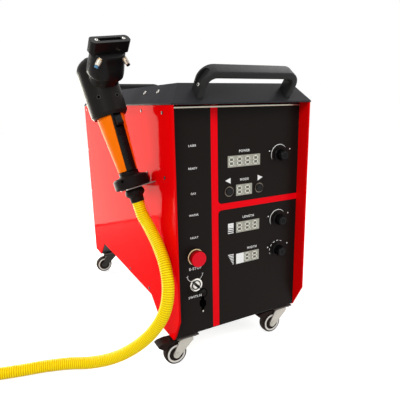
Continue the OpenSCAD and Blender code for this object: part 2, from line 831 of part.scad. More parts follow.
module gun_holder() {
    half = slot_r + tine_w;
    reach = -body_w / 2 - gun_x + half;
    color(STEEL) placed() {
        difference() {
            union() {
                difference() {
                    holder_frame() translate([0, 0, -holder_t]) linear_extrude(holder_t)
                        polygon([[-slot_r, -half], [reach * 2, -half], [reach * 2, holder_rear],
                            [-body_w / 2 - gun_x - flange_reach, holder_rear], [-slot_r + tine_w, half],
                            [-slot_r, half]]);
                    translate([-body_w / 2, 0, 0]) cube([body_w, body_d, body_h]);
                    holder_frame() {
                        translate([0, 0, -holder_t - cut]) cylinder(r = slot_r, h = holder_t + 2 * cut);
                        translate([-slot_r - cut, -slot_r, -holder_t - cut])
                            cube([slot_r + cut, 2 * slot_r, holder_t + 2 * cut]);
                    }
                }
                intersection() {
                    holder_frame() translate([0, flange_start, -holder_t])
                        cube([reach * 2, holder_rear - flange_start, holder_rise]);
                    wall_slab(wall_t);
                }
            }
            holder_screw_bores();
        }
        for (p = holder_screws)
            translate([-body_w / 2 - wall_t, gun_y + p[1], gun_z + p[0]]) rotate([0, 90, 0]) {
                translate([0, 0, -screw_head_h]) cylinder(r = screw_head_r, h = screw_head_h, $fn = 24);
                cylinder(r = screw_r - gap / 2, h = wall_t + sheet_t, $fn = 24);
            }
    }
}

collar_h = 12;
disc_edge = 4;
rim_chamfer = 2.5;
module gun_disc() {
    color(BLACK) placed() gun_frame() rotate_extrude($fn = 64)
        polygon([[0, display_gap], [disc_r - rim_chamfer, display_gap], [disc_r, rim_chamfer],
            [disc_r, disc_h - rim_chamfer], [disc_r - rim_chamfer, disc_h],
            [tail_r + disc_edge, disc_h + disc_edge / 2], [tail_r, disc_h + disc_edge],
            [tail_r, disc_h + collar_h - disc_edge / 2], [tail_r - disc_edge / 2, disc_h + collar_h],
            [0, disc_h + collar_h]]);
}

module gun_tail() {
    color(BLACK) placed() gun_frame() rotate_extrude()
        polygon([[0, display_gap], [tail_r - disc_edge, display_gap],
            [tail_r - disc_edge / 2, -disc_edge], [tail_r, -disc_edge * 2],
            [tail_r, -tail_l + disc_edge], [tail_r - disc_edge, -tail_l],
            [neck_r, -tail_l - disc_edge / 2], [neck_r, -tail_l - neck_l], [0, -tail_l - neck_l]]);
}

// The grip swells towards the body, and its front is flat where the spine lies
grip_depth_share = 1.08;
spine_w = 20;
spine_out = 1.5;
module grip_shape(e) {
    low = disc_h + collar_h;
    mid = (low + gun_rim_l) / 2;
    hull() {
        translate([0, 0, low]) scale([1, grip_depth_share, 1])
            cylinder(r = grip_low_w / 2 + e, h = disc_edge, $fn = 32);
        translate([0, 0, mid]) scale([1, grip_depth_share, 1])
            cylinder(r = (grip_low_w + grip_top_w) / 4 + e, h = disc_edge, $fn = 32);
    }
    hull() {
        translate([0, 0, mid]) scale([1, grip_depth_share, 1])
            cylinder(r = (grip_low_w + grip_top_w) / 4 + e, h = disc_edge, $fn = 32);
        translate([0, 0, gun_rim_l - disc_edge]) scale([1, grip_depth_share, 1])
            cylinder(r = grip_top_w / 2 + e, h = disc_edge, $fn = 32);
    }
}

module spine_slab(w) {
    low = disc_h + collar_h;
    translate([-w / 2 - spine_out, -grip_top_w, low]) cube([w, grip_top_w, gun_rim_l - low]);
}

module gun_grip() {
    color([0.95, 0.45, 0.02]) placed() gun_frame() difference() {
        grip_shape(0);
        spine_slab(spine_w);
    }
}

trigger_w = 14;
trigger_l = 17;
trigger_out = 11;
trigger_pin_r = 2;
trigger_z = gun_rim_l - 7;
trigger_y = -grip_top_w / 2 * grip_depth_share + 4;
recess_l = 20;
module gun_spine() {
    color(BLACK) placed() gun_frame() difference() {
        intersection() {
            grip_shape(spine_out);
            translate([0, -display_gap, 0]) spine_slab(spine_w);
        }
        translate([-trigger_w / 2 - gap - spine_out, -grip_top_w, trigger_z - trigger_l - recess_l])
            cube([trigger_w + 2 * gap, grip_top_w * 0.72, trigger_l + recess_l + screw_side_in]);
        translate([-spine_w, trigger_y, trigger_z]) rotate([0, 90, 0])
            cylinder(r = trigger_pin_r + run, h = 2 * spine_w, $fn = 32);
    }
}

module gun_trigger() {
    color([0.2, 0.2, 0.2]) placed() gun_frame() translate([-spine_out, trigger_y, trigger_z]) {
        along_x(-trigger_w / 2, trigger_w)
            polygon([[disc_edge, disc_edge], [-disc_edge, disc_edge * 1.3], [-disc_edge * 2, 0],
                [-trigger_out - gap, -trigger_l * 0.75], [-trigger_out * 0.9, -trigger_l],
                [-trigger_out * 0.5, -trigger_l],
                [-disc_edge * 0.6, -trigger_l * 0.4], [disc_edge, -disc_edge]]);
        translate([-spine_w / 2 + gap, 0, 0]) rotate([0, 90, 0])
            cylinder(r = trigger_pin_r, h = spine_w - 2 * gap, $fn = 32);
    }
}

rim_edge = 6;
dome_share = 0.75;
gun_seg = 64;
module gun_shell(e) {
    translate([0, 0, gun_rim_l]) cylinder(r1 = gun_r - disc_edge + e, r2 = gun_r + e, h = rim_edge);
    translate([0, 0, gun_rim_l + rim_edge]) cylinder(r = gun_r + e, h = gun_dome_l - gun_rim_l - rim_edge);
    translate([0, 0, gun_dome_l]) scale([1, 1, dome_share]) sphere(r = gun_r + e);
}

module gun_body() {
    color(BLACK) placed() gun_frame() gun_shell(0);
}

// The barrel's frame has its z axis along the barrel, and its y axis up and back
module barrel_frame() {
    gun_frame() translate([0, 0, gun_cross_l]) rotate([90 - barrel_rise, 0, 0]) children();
}

barrel_round = 22;
module barrel_shape() {
    linear_extrude(barrel_l) hull() for (s = [-1, 1])
        translate([s * (barrel_r - barrel_round), 0]) circle(barrel_round, $fn = 48);
}

module gun_barrel() {
    color(BLACK) placed() difference() {
        barrel_frame() barrel_shape();
        gun_frame() gun_shell(run);
    }
}

nozzle_corner = 8;
window_w = 46;
window_h = 8;
window_depth = 5;
module nozzle_outline() {
    r = nozzle_corner;
    hull() for (x = [-nozzle_w / 2 + r, nozzle_w / 2 - r], y = [-nozzle_t / 2 + r, nozzle_t / 2 - r])
        translate([x, y]) circle(r, $fn = 32);
}

module gun_nozzle() {
    color(BLACK) placed() barrel_frame() translate([0, 0, barrel_l]) difference() {
        linear_extrude(nozzle_l) nozzle_outline();
        translate([-window_w / 2, -window_h / 2, nozzle_l - window_depth])
            cube([window_w, window_h, window_depth + cut]);
        for (s = [-1, 1]) translate([s * (window_w / 2 + nozzle_corner * 0.6), 0, nozzle_l - screw_head_h])
            cylinder(r = screw_head_r, h = screw_head_h + cut, $fn = 24);
    }
}

fitting_r = 5;
fitting_l = 22;
fitting_x = 23;
fitting_y = -15.8;
fitting_tilt = 140;
fitting_turn = 31;
module air_fittings() {
    color(STEEL) placed() barrel_frame() difference() {
        for (s = [0, 1]) mirror([s, 0, 0])
            translate([fitting_x, fitting_y, barrel_l - gap]) rotate([0, fitting_tilt, -fitting_turn]) {
                cylinder(r = fitting_r * 0.8, h = fitting_l);
                cylinder(r = fitting_r, h = fitting_l * 0.75);
            }
        barrel_shape();
        translate([0, 0, barrel_l - seat]) cylinder(r = nozzle_w, h = fitting_l);
    }
}

// The hose: hand-chosen places in the cabinet's own frame
gun_axis = [-sin(lean_out) * cos(lean_back), sin(lean_back), cos(lean_out) * cos(lean_back)];
tail_end = [gun_x, gun_y, gun_z] - (tail_l + neck_l + seat) * gun_axis;
tail_straight = tail_end - hose_d * gun_axis;
coil_mid = [-708, 70];
coil_angle = 75;
coil_r = 160;
turn_pitch = hose_d + 2;
layer_rise = hose_d + 1;
coil_turns = 4;
coil_layers = 2;
coil_tail_turn = 180;
lying = hose_d / 2;
route_middle = [[-180.5, 92, 304], [-174, 57.5, 268.5], [-174, 24.5, 233.5], [-177.5, 7.5, 192.5],
    [-188, 6.5, 147.5], [-209, 23.5, 102.5], [-238, 51.5, 62.5], [-274, 83.5, 32],
    [-315, 114.5, lying + 3.5], [-358, 139.5, lying + 0.7], [-402, 155, lying + 0.2],
    [-445.5, 165, lying + 0.1], [-488, 176, lying], [-535, 189, lying]];
lead_dir = [-sin(coil_angle), cos(coil_angle), 0];
coil_entry = [coil_mid[0] + coil_r * cos(coil_angle), coil_mid[1] + coil_r * sin(coil_angle), hose_d / 2];
join = coil_entry - hose_d * lead_dir;
route = concat([tail_end, tail_straight], route_middle, [join - hose_d * lead_dir, join]);

function length_of(v) = norm(v);
function unit(v) = v / norm(v);
// Distances along the route at each of its points
function running(p, i = 0, s = 0) = i >= len(p) ? [] :
    let (here = i == 0 ? 0 : s + length_of(p[i] - p[i - 1])) concat([here], running(p, i + 1, here));
// A smooth curve through the points, straight on its first and last pieces
function slope(p, i) = i <= 1 ? unit(p[1] - p[0]) :
    i >= len(p) - 2 ? unit(p[len(p) - 1] - p[len(p) - 2]) : unit(p[i + 1] - p[i - 1]);
function blend_point(p, i, u) =
    let (l = length_of(p[i + 1] - p[i]), a = slope(p, i) * l, b = slope(p, i + 1) * l)
    (2 * u * u * u - 3 * u * u + 1) * p[i] + (u * u * u - 2 * u * u + u) * a
    + (3 * u * u - 2 * u * u * u) * p[i + 1] + (u * u * u - u * u) * b;
function piece_of(run_list, s, i = 0) = i >= len(run_list) - 2 || s < run_list[i + 1] ? i :
    piece_of(run_list, s, i + 1);
function along(p, run_list, s) = let (i = piece_of(run_list, s))
    blend_point(p, i, min(1, (s - run_list[i]) / (run_list[i + 1] - run_list[i])));
// Directions and turning frames along a list of points
function direction(p, i) = i == 0 ? unit(p[1] - p[0]) : i == len(p) - 1 ? unit(p[i] - p[i - 1]) :
    unit(p[i + 1] - p[i - 1]);
function square_to(v, t) = unit(v - (v * t) * t);
function frames(p, side) = [for (i = 0, n = square_to(side, direction(p, 0)); i < len(p);
    i = i + 1, n = i < len(p) ? square_to(n, direction(p, i)) : n) n];
function ring(c, t, n, r, sides) = let (b = cross(t, n))
    [for (k = [0:sides - 1]) c + r * (cos(k * 360 / sides) * n + sin(k * 360 / sides) * b)];
function rings(p, radii, sides, side) = let (f = frames(p, side))
    [for (i = [0:len(p) - 1]) each ring(p[i], direction(p, i), f[i], radii[i], sides)];
function walls(count, sides, first, turned) = [for (i = [0:count - 2], k = [0:sides - 1])
    let (a = first + i * sides + k, b = first + i * sides + (k + 1) % sides, c = b + sides, d = a + sides)
    each turned ? [[a, b, c], [a, c, d]] : [[a, c, b], [a, d, c]]];

// A plain tube without a bore
module rod(p, r, sides, side) {
    last = (len(p) - 1) * sides;
    polyhedron(rings(p, [for (q = p) r], sides, side),
        concat(walls(len(p), sides, 0, false),
            [for (k = [1:sides - 2]) [0, k, k + 1]],
            [for (k = [1:sides - 2]) [last, last + k + 1, last + k]]));
}

// A ribbed tube with a bore: each rib has a ring on its crest and one in its groove
rib_depth = 1;
hose_sides = 8;
bore_rings = 40;
route_run = running(route);
route_l = route_run[len(route_run) - 1];
module ribbed_tube() {
    n = rib_count * 2;
    m = bore_rings;
    s = hose_sides;
    outer = [for (i = [0:n]) along(route, route_run, route_l * i / n)];
    inner = [for (i = [0:m]) along(route, route_run, route_l * i / m)];
    first = (n + 1) * s;
    end_a = n * s;
    end_b = first + m * s;
    polyhedron(
        concat(rings(outer, [for (i = [0:n]) hose_d / 2 - (i % 2) * rib_depth], s, [1, 0, 0]),
            rings(inner, [for (i = [0:m]) hose_bore_d / 2], s, [1, 0, 0])),
        concat(walls(n + 1, s, 0, false), walls(m + 1, s, first, true),
            [for (k = [0:s - 1]) let (j = (k + 1) % s) each [[k, j, first + j], [k, first + j, first + k]]],
            [for (k = [0:s - 1]) let (j = (k + 1) % s)
                each [[end_a + j, end_a + k, end_b + k], [end_a + j, end_b + k, end_b + j]]]));
}

module hose() {
    color([0.98, 0.86, 0.02]) placed() ribbed_tube();
}

// The coil: in on the floor, up a layer in the half turn where it reverses, out again, and down beside it
coil_steps = 24;
half_turns = coil_turns * 180;
function coil_radius(a) = coil_r - turn_pitch * (half_turns - abs(a - half_turns)) / 360;
function coil_lift(a) = layer_rise * min(1, max(0, (a - half_turns + 90) / 180));
function coil_at(a) =
    let (over = max(0, a - 2 * half_turns) / coil_tail_turn * 90,
        r = (a > 2 * half_turns ? coil_r : coil_radius(a)) + turn_pitch * sin(over),
        z = hose_d / 2 + (a > 2 * half_turns ? layer_rise * cos(over) : coil_lift(a)),
        w = coil_angle + a)
    [coil_mid[0] + r * cos(w), coil_mid[1] + r * sin(w), z];
coil_end = 2 * half_turns + coil_tail_turn;
coil_curve = [for (a = [0:360 / coil_steps:coil_end]) coil_at(a)];
end_angle = coil_angle + coil_end;
end_dir = [-sin(end_angle), cos(end_angle), 0];
coil_last = coil_curve[len(coil_curve) - 1];
coil_path = concat([join], coil_curve, [coil_last + hose_d * end_dir]);
// The least distance between stretches of the coil that are not neighbours, less the hose's diameter
least_gap = min([for (i = [0:len(coil_path) - 1], j = [i + coil_steps / 3:1:len(coil_path) - 1])
    length_of(coil_path[i] - coil_path[j])]) - hose_d;
echo(least_gap_between_turns = least_gap);
echo(hose_length = route_l, coil_length = running(coil_path)[len(coil_path) - 1]);

module hose_coil() {
    color([0.98, 0.86, 0.02]) placed() rod(coil_path, hose_d / 2, 6, [0, 0, 1]);
}

// The connector lies on the floor with its axis along the end of the hose
boot_l = 34;
nut_l = 22;
nut_r = 15;
ferrule_l = 24;
ferrule_r = 11;
module hose_connector() {
    start = coil_last + hose_d * end_dir;
    color([0.2, 0.2, 0.2]) placed() translate([start[0], start[1], nut_r])
        rotate([0, 0, end_angle + 90]) rotate([0, 90, 0]) {
            translate([-(hose_d / 2 - nut_r), 0, 0]) rotate([0, 0, 0])
                cylinder(r1 = hose_d / 2, r2 = hose_d / 2, h = boot_l / 3);
            translate([0, 0, boot_l / 3]) cylinder(r = nut_r - cut, h = boot_l * 2 / 3);
            translate([0, 0, boot_l]) cylinder(r = nut_r, h = nut_l);
            translate([0, 0, boot_l + nut_l]) difference() {
                cylinder(r = ferrule_r, h = ferrule_l);
                translate([0, 0, ferrule_l / 2]) cylinder(r = ferrule_r - sheet_t, h = ferrule_l);
            }
        }
}

// The rear panel with a fan, slots, the power inlet and the gas inlet
rear_y = body_d - rear_recess - sheet_t;
fan_w = 120;
fan_hole_r = 56;
fan_d = 25;
fan_z = 420;
slot_count = 9;
slot_l = 90;
slot_h = 5;
slot_pitch = 12;
vent_z = 200;
inlet_w = 48;
inlet_h = 60;
inlet_x = 90;
inlet_z = 150;
gas_x = -100;
gas_r = 4;
gas_body_r = 8;
gas_l = 22;
module rear_panel() {
    color(BLACK) placed() difference() {
        translate([-inner_w / 2 + seat, rear_y, panel_bottom])
            cube([inner_w - 2 * seat, sheet_t, panel_top - panel_bottom]);
        peg(0, rear_y + sheet_t + cut, fan_z, fan_hole_r, sheet_t + 2 * cut);
        for (i = [0:slot_count - 1]) translate([-slot_l / 2, rear_y - cut, vent_z + i * slot_pitch])
            cube([slot_l, sheet_t + 2 * cut, slot_h]);
        translate([inlet_x - inlet_w / 2, rear_y - cut, inlet_z - inlet_h / 2])
            cube([inlet_w, sheet_t + 2 * cut, inlet_h]);
        peg(gas_x, rear_y + sheet_t + cut, inlet_z, gas_body_r, sheet_t + 2 * cut);
    }
}

fan_hub_r = 20;
fan_pin_r = 3;
blade_count = 7;
blade_t = 2;
blade_turn = 35;
module fan_frame() {
    color(BLACK) placed() translate([0, rear_y - fan_d, fan_z]) {
        difference() {
            translate([-fan_w / 2, 0, -fan_w / 2]) cube([fan_w, fan_d, fan_w]);
            translate([0, -cut, 0]) rotate([-90, 0, 0])
                cylinder(r = fan_hole_r, h = fan_d + 2 * cut, $fn = 64);
        }
        rotate([-90, 0, 0]) cylinder(r = fan_hub_r, h = sheet_t);
        for (a = [45:90:315]) rotate([0, a, 0]) translate([-fan_pin_r, 0, 0])
            cube([fan_pin_r * 2, sheet_t, fan_hole_r + cut]);
        rotate([-90, 0, 0]) cylinder(r = fan_pin_r, h = fan_d * 0.6);
    }
}

module fan_rotor() {
    l = fan_d - sheet_t * 3;
    blade_l = fan_hole_r - fan_hub_r - cut;
    color([0.16, 0.16, 0.17]) placed()
        translate([0, rear_y - fan_d + sheet_t * 2, fan_z]) rotate([-90, 0, 0]) difference() {
            union() {
                cylinder(r = fan_hub_r, h = l);
                for (i = [0:blade_count - 1]) rotate([0, 0, i * 360 / blade_count])
                    translate([fan_hub_r - cut, 0, l / 2]) rotate([blade_turn, 0, 0])
                        translate([0, -fan_d / 2, -blade_t / 2]) cube([blade_l, fan_d, blade_t]);
            }
            translate([0, 0, -cut]) cylinder(r = fan_pin_r + run, h = l - sheet_t);
            translate([0, 0, -fan_d]) cylinder(r = fan_w, h = fan_d, $fn = 24);
            translate([0, 0, l]) cylinder(r = fan_w, h = fan_d, $fn = 24);
        }
}

grille_wire = 1.2;
grille_rings = [16, 26, 36, 46, 56];
module fan_grille() {
    y = rear_y + sheet_t;
    color(STEEL) placed() translate([0, y, fan_z]) rotate([-90, 0, 0]) {
        for (r = grille_rings) difference() {
            cylinder(r = r + grille_wire, h = grille_wire * 2);
            translate([0, 0, -cut]) cylinder(r = r - grille_wire, h = grille_wire * 2 + 2 * cut);
        }
        for (a = [0, 90]) rotate([0, 0, a + 45]) translate([-fan_w * 0.62, -grille_wire, 0])
            cube([fan_w * 1.24, grille_wire * 2, grille_wire * 1.5]);
    }
}

rocker_w = 14;
rocker_h = 20;
rocker_z = inlet_z + inlet_h / 2 - rocker_h;
socket_w = 27;
socket_h = 20;
inlet_depth = 28;
rocker_pin_r = 1.5;
module power_inlet() {
    face = rear_y + sheet_t;
    color(BLACK) placed() difference() {
        union() {
            translate([inlet_x - inlet_w / 2 - sheet_t, face, inlet_z - inlet_h / 2 - sheet_t])
                cube([inlet_w + 2 * sheet_t, sheet_t, inlet_h + 2 * sheet_t]);
            translate([inlet_x - inlet_w / 2 + gap, face - inlet_depth, inlet_z - inlet_h / 2 + gap])
                cube([inlet_w - 2 * gap, inlet_depth, inlet_h - 2 * gap]);
        }
        translate([inlet_x - socket_w / 2, face - inlet_depth / 2, inlet_z - inlet_h / 2 + sheet_t * 2])
            cube([socket_w, inlet_depth, socket_h]);
        translate([inlet_x - rocker_w / 2, face - rocker_h / 2, rocker_z - rocker_h / 2])
            cube([rocker_w, rocker_h, rocker_h]);
        translate([inlet_x - rocker_w / 2 - sheet_t, face - sheet_t, rocker_z]) rotate([0, 90, 0])
            cylinder(r = rocker_pin_r + run, h = rocker_w + 2 * sheet_t, $fn = 32);
    }
}

rocker_tilt = 10;
module power_rocker() {
    face = rear_y + sheet_t;
    w = rocker_w - 2 * gap;
    l = rocker_h / 2 - gap * 2;
    color([0.5, 0.04, 0.04]) placed() translate([inlet_x, face - sheet_t, rocker_z]) {
        translate([-w / 2, 0, 0]) rotate([rocker_tilt, 0, 0]) along_x(0, w)
            polygon([[-sheet_t * 2, -l * 0.5], [sheet_t * 1.6, -l * 0.9], [sheet_t * 1.2, 0],
                [sheet_t * 1.6, l * 0.9], [-sheet_t * 2, l * 0.5]]);
        translate([-rocker_w / 2 - sheet_t + gap, 0, 0]) rotate([0, 90, 0])
            cylinder(r = rocker_pin_r, h = rocker_w + 2 * sheet_t - 2 * gap, $fn = 32);
    }
}

module gas_inlet() {
    face = rear_y + sheet_t;
    color(STEEL) placed() translate([gas_x, face, inlet_z]) rotate([-90, 0, 0]) difference() {
        union() {
            translate([0, 0, -gas_l]) cylinder(r = gas_body_r - gap, h = gas_l);
            cylinder(r = gas_body_r * 1.5, h = sheet_t * 2, $fn = 6);
            cylinder(r = gas_body_r, h = gas_l);
        }
        translate([0, 0, -cut]) cylinder(r = gas_r, h = gas_l + 2 * cut);
    }
}

source_w = 190;
source_d = 340;
source_h = 90;
supply_w = 90;
supply_d = 220;
supply_h = 60;
inside_gap = 12;
fin_count = 12;
module laser_source() {
    x = -pan_w / 2 + inside_gap;
    y = arch_front_y + inside_gap;
    z = arch_z + sheet_t;
    color([0.6, 0.62, 0.64]) placed() {
        translate([x, y, z]) cube([source_w, source_d, source_h]);
        for (i = [0:fin_count - 1])
            translate([x + inside_gap / 2 + i * (source_w - inside_gap) / fin_count, y, z + source_h])
                cube([sheet_t, source_d, inside_gap]);
    }
}

module power_supply() {
    x = pan_w / 2 - inside_gap - supply_w;
    y = arch_front_y + inside_gap;
    z = arch_z + sheet_t;
    color(STEEL) placed() translate([x, y, z]) difference() {
        cube([supply_w, supply_d, supply_h]);
        for (i = [1:fin_count - 1])
            translate([supply_w / 4, i * supply_d / fin_count, supply_h - sheet_t])
                cube([supply_w / 2, sheet_t, sheet_t + cut]);
    }
}

side_panel_left();
side_panel_right();
base_pan();
front_panel();
front_films();
trim_strip();
roof_cover();
front_handle();
rear_handle();
panel_screws();
power_display();
mode_display();
length_display();
width_display();
button_bezels();
button_left();
button_right();
knob_power();
knob_length();
knob_width();
potentiometers();
stop_base();
stop_stem();
stop_head();
key_switch();
main_key();
spare_key();
castor_plates();
fork_front_left();
fork_front_right();
fork_rear_left();
fork_rear_right();
wheel_front_left();
wheel_front_right();
wheel_rear_left();
wheel_rear_right();
pedal_left();
pedal_right();
gun_body();
gun_barrel();
gun_nozzle();
air_fittings();
gun_grip();
gun_spine();
gun_trigger();
gun_disc();
gun_tail();
gun_holder();
hose();
hose_coil();
hose_connector();
rear_panel();
fan_frame();
fan_rotor();
fan_grille();
power_inlet();
power_rocker();
gas_inlet();
laser_source();
power_supply();
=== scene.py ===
import json
import math

import bmesh
import bpy
from mathutils import Matrix, Vector
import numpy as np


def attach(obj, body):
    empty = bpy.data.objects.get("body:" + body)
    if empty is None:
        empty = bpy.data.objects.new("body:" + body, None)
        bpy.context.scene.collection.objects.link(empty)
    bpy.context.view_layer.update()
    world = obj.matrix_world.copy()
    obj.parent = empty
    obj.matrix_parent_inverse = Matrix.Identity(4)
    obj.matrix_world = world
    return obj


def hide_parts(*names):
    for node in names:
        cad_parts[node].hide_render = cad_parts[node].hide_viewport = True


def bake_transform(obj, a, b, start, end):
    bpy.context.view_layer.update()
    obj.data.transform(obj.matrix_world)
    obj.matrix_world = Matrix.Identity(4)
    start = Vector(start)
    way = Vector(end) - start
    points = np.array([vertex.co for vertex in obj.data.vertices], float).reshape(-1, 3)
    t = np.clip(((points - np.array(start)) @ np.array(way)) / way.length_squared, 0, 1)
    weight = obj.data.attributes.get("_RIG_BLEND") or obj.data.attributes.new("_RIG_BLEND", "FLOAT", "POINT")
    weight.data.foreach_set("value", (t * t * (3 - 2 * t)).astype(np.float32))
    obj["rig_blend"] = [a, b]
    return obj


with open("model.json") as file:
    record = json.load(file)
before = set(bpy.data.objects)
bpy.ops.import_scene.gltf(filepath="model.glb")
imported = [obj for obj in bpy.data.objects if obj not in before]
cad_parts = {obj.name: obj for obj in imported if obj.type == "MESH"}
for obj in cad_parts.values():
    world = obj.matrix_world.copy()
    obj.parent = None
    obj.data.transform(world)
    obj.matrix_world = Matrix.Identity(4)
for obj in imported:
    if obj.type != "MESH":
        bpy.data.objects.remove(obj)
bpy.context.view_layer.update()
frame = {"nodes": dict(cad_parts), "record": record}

# Lengths are in millimetres in the cabinet's own frame: x from its middle, y from its front
# edges, z from the floor. OX and OY take a place from there to the frame of the record.
OX, OY = 60.5, -338.0
HALF_W, DEPTH = 160.0, 676.0


def m(p):
    """A place in cabinet millimetres, in metres of the record's frame."""
    return Vector(((p[0] + OX) / 1000, (p[1] + OY) / 1000, p[2] / 1000))


def srgb(r, g, b):
    def one(c):
        c /= 255
        return c / 12.92 if c <= 0.04045 else ((c + 0.055) / 1.055) ** 2.4
    return (one(r), one(g), one(b), 1.0)


def link(ob):
    bpy.context.scene.collection.objects.link(ob)
    return ob


# Camera, solved from the photograph
CAMERA_PLACE = (-457.57, -665.02, 545.33)
CAMERA_RIGHT = (0.8824, -0.4700, -0.0198)
CAMERA_AHEAD = (0.4533, 0.8607, -0.2318)
FOCAL_LENGTH = 36.43
cam_data = bpy.data.cameras.new("camera")
cam = link(bpy.data.objects.new("camera", cam_data))
cam_data.sensor_width = 36
cam_data.lens = FOCAL_LENGTH
cam_data.clip_start = 0.01
cam_data.clip_end = 50
right = Vector(CAMERA_RIGHT).normalized()
ahead = Vector(CAMERA_AHEAD)
ahead = (ahead - ahead.dot(right) * right).normalized()
pose = Matrix((right, right.cross(ahead).normalized(), -ahead)).transposed().to_4x4()
pose.translation = m(CAMERA_PLACE)
cam.matrix_world = pose
bpy.context.scene.camera = cam


def rot(axis, deg):
    return Matrix.Rotation(math.radians(deg), 4, axis)


def move(x, y, z):
    return Matrix.Translation((x, y, z))


# Frames of the gun, its barrel and the front handle: places in millimetres, angles in degrees
GUN_AT = (-199, 118, 381)
LEAN_BACK, LEAN_OUT, HEADING = 14.3, 10.8, 12.5
BARREL_UP, BARREL_RISE = 208, 33.5
HANDLE_AT, HANDLE_LEAN = (0, 14, 562.82), 38
GUN = move(*GUN_AT) @ rot("Y", -LEAN_OUT) @ rot("X", -LEAN_BACK) @ rot("Z", HEADING)
BARREL = GUN @ move(0, 0, BARREL_UP) @ rot("X", 90 - BARREL_RISE)
HANDLE = move(*HANDLE_AT) @ rot("X", HANDLE_LEAN)
GUN_AXIS = (GUN.to_3x3() @ Vector((0, 0, 1))).normalized()


# Materials
def new_material(name):
    mat = bpy.data.materials.new(name)
    mat.use_nodes = True
    nt = mat.node_tree
    return mat, nt, nt.nodes["Principled BSDF"]


def noise_node(nt, coord, scale, detail=3, stretch=None):
    n = nt.nodes.new("ShaderNodeTexNoise")
    n.inputs["Scale"].default_value = scale
    n.inputs["Detail"].default_value = detail
    if stretch:
        mp = nt.nodes.new("ShaderNodeMapping")
        mp.inputs["Scale"].default_value = stretch
        nt.links.new(coord, mp.inputs["Vector"])
        coord = mp.outputs["Vector"]
    nt.links.new(coord, n.inputs["Vector"])
    return n


def make(name, colour, rough, metal=0.0, coat=0.0, coat_rough=0.04, var=0.08, scale=14,
         rough_var=0.05, bump=0.12, grain=1400, distance=0.00006, stretch=None, spec=0.5):
    """A paint or metal: its colour varies by var, its roughness by rough_var, over a fine grain."""
    mat, nt, bsdf = new_material(name)
    co = nt.nodes.new("ShaderNodeTexCoord").outputs["Object"]
    broad = noise_node(nt, co, scale)
    mix = nt.nodes.new("ShaderNodeMix")
    mix.data_type = "RGBA"
    mix.inputs[6].default_value = tuple(c * (1 - var) for c in colour[:3]) + (1,)
    mix.inputs[7].default_value = tuple(min(1, c * (1 + var)) for c in colour[:3]) + (1,)
    nt.links.new(broad.outputs["Fac"], mix.inputs[0])
    nt.links.new(mix.outputs[2], bsdf.inputs["Base Color"])
    fine = noise_node(nt, co, grain, 2, stretch)
    mr = nt.nodes.new("ShaderNodeMapRange")
    mr.inputs["To Min"].default_value = max(0.02, rough - rough_var)
    mr.inputs["To Max"].default_value = rough + rough_var
    nt.links.new(noise_node(nt, co, scale * 5, 3, stretch).outputs["Fac"], mr.inputs["Value"])
    nt.links.new(mr.outputs["Result"], bsdf.inputs["Roughness"])
    b = nt.nodes.new("ShaderNodeBump")
    b.inputs["Strength"].default_value = bump
    b.inputs["Distance"].default_value = distance
    nt.links.new(fine.outputs["Fac"], b.inputs["Height"])
    nt.links.new(b.outputs["Normal"], bsdf.inputs["Normal"])
    for socket, value in (("Metallic", metal), ("Coat Weight", coat),
                          ("Coat Roughness", coat_rough), ("Specular IOR Level", spec)):
        bsdf.inputs[socket].default_value = value
    return mat


RED_SIDE = make("red_side_paint", srgb(226, 3, 7), 0.36, coat=0.054, coat_rough=0.07, var=0.03,
                scale=6, bump=0.05, grain=700, distance=0.00003, spec=0.0)
RED_PANEL = make("red_panel_paint", srgb(240, 3, 20), 0.4, coat=0.05, coat_rough=0.1, var=0.04,
                 scale=8, bump=0.06, grain=900, distance=0.00003, spec=0.03)
ROOF = make("black_powder_coat", srgb(44, 44, 46), 0.34, var=0.10, scale=9, bump=0.35,
            grain=2200, distance=0.00005, spec=0.1)
# A lighter copy of the powder coat, with less sheen, for the roof cover's side slopes: painted light
ROOF_LIT_SIDES = make("black_powder_coat_painted_light_sides", srgb(50, 50, 54), 0.4, var=0.10, scale=9, bump=0.35,
                 grain=2200, distance=0.00005, spec=0.01)
PAN = make("black_pan_paint", srgb(30, 29, 29), 0.5, var=0.1, bump=0.3, grain=2000)
FILM = make("graphite_film", srgb(27, 23, 21), 0.35, var=0.06, scale=5, grain=3000,
            distance=0.00002, spec=0.05)
TRIM = make("brushed_trim", srgb(196, 188, 172), 0.3, metal=0.9, bump=0.2, grain=500,
            stretch=(0.05, 1, 8))
MOULDED = make("moulded_black", srgb(38, 39, 38), 0.45, bump=0.5, grain=2600, distance=0.00008,
               spec=0.1)
GUN_BLACK = make("gun_black_anodised", srgb(32, 30, 28), 0.34, var=0.1, bump=0.25, grain=2400,
                 distance=0.00005, spec=0.04)
HEAD_BLACK = make("head_black_anodised", srgb(17, 15, 15), 0.3, var=0.12, bump=0.25, grain=2400,
                  distance=0.00005, spec=0.1)
RUBBER = make("black_rubber", srgb(23, 18, 17), 0.45, var=0.1, bump=0.4, grain=1800,
              distance=0.0001, spec=0.06)
ORANGE = make("orange_grip", srgb(250, 118, 0), 0.5, var=0.05, scale=22, bump=0.5, grain=1500,
              distance=0.00012, spec=0.06)
YELLOW = make("yellow_hose", srgb(255, 230, 0), 0.4, var=0.03, scale=8, bump=0.15, grain=900,
              spec=0.15)
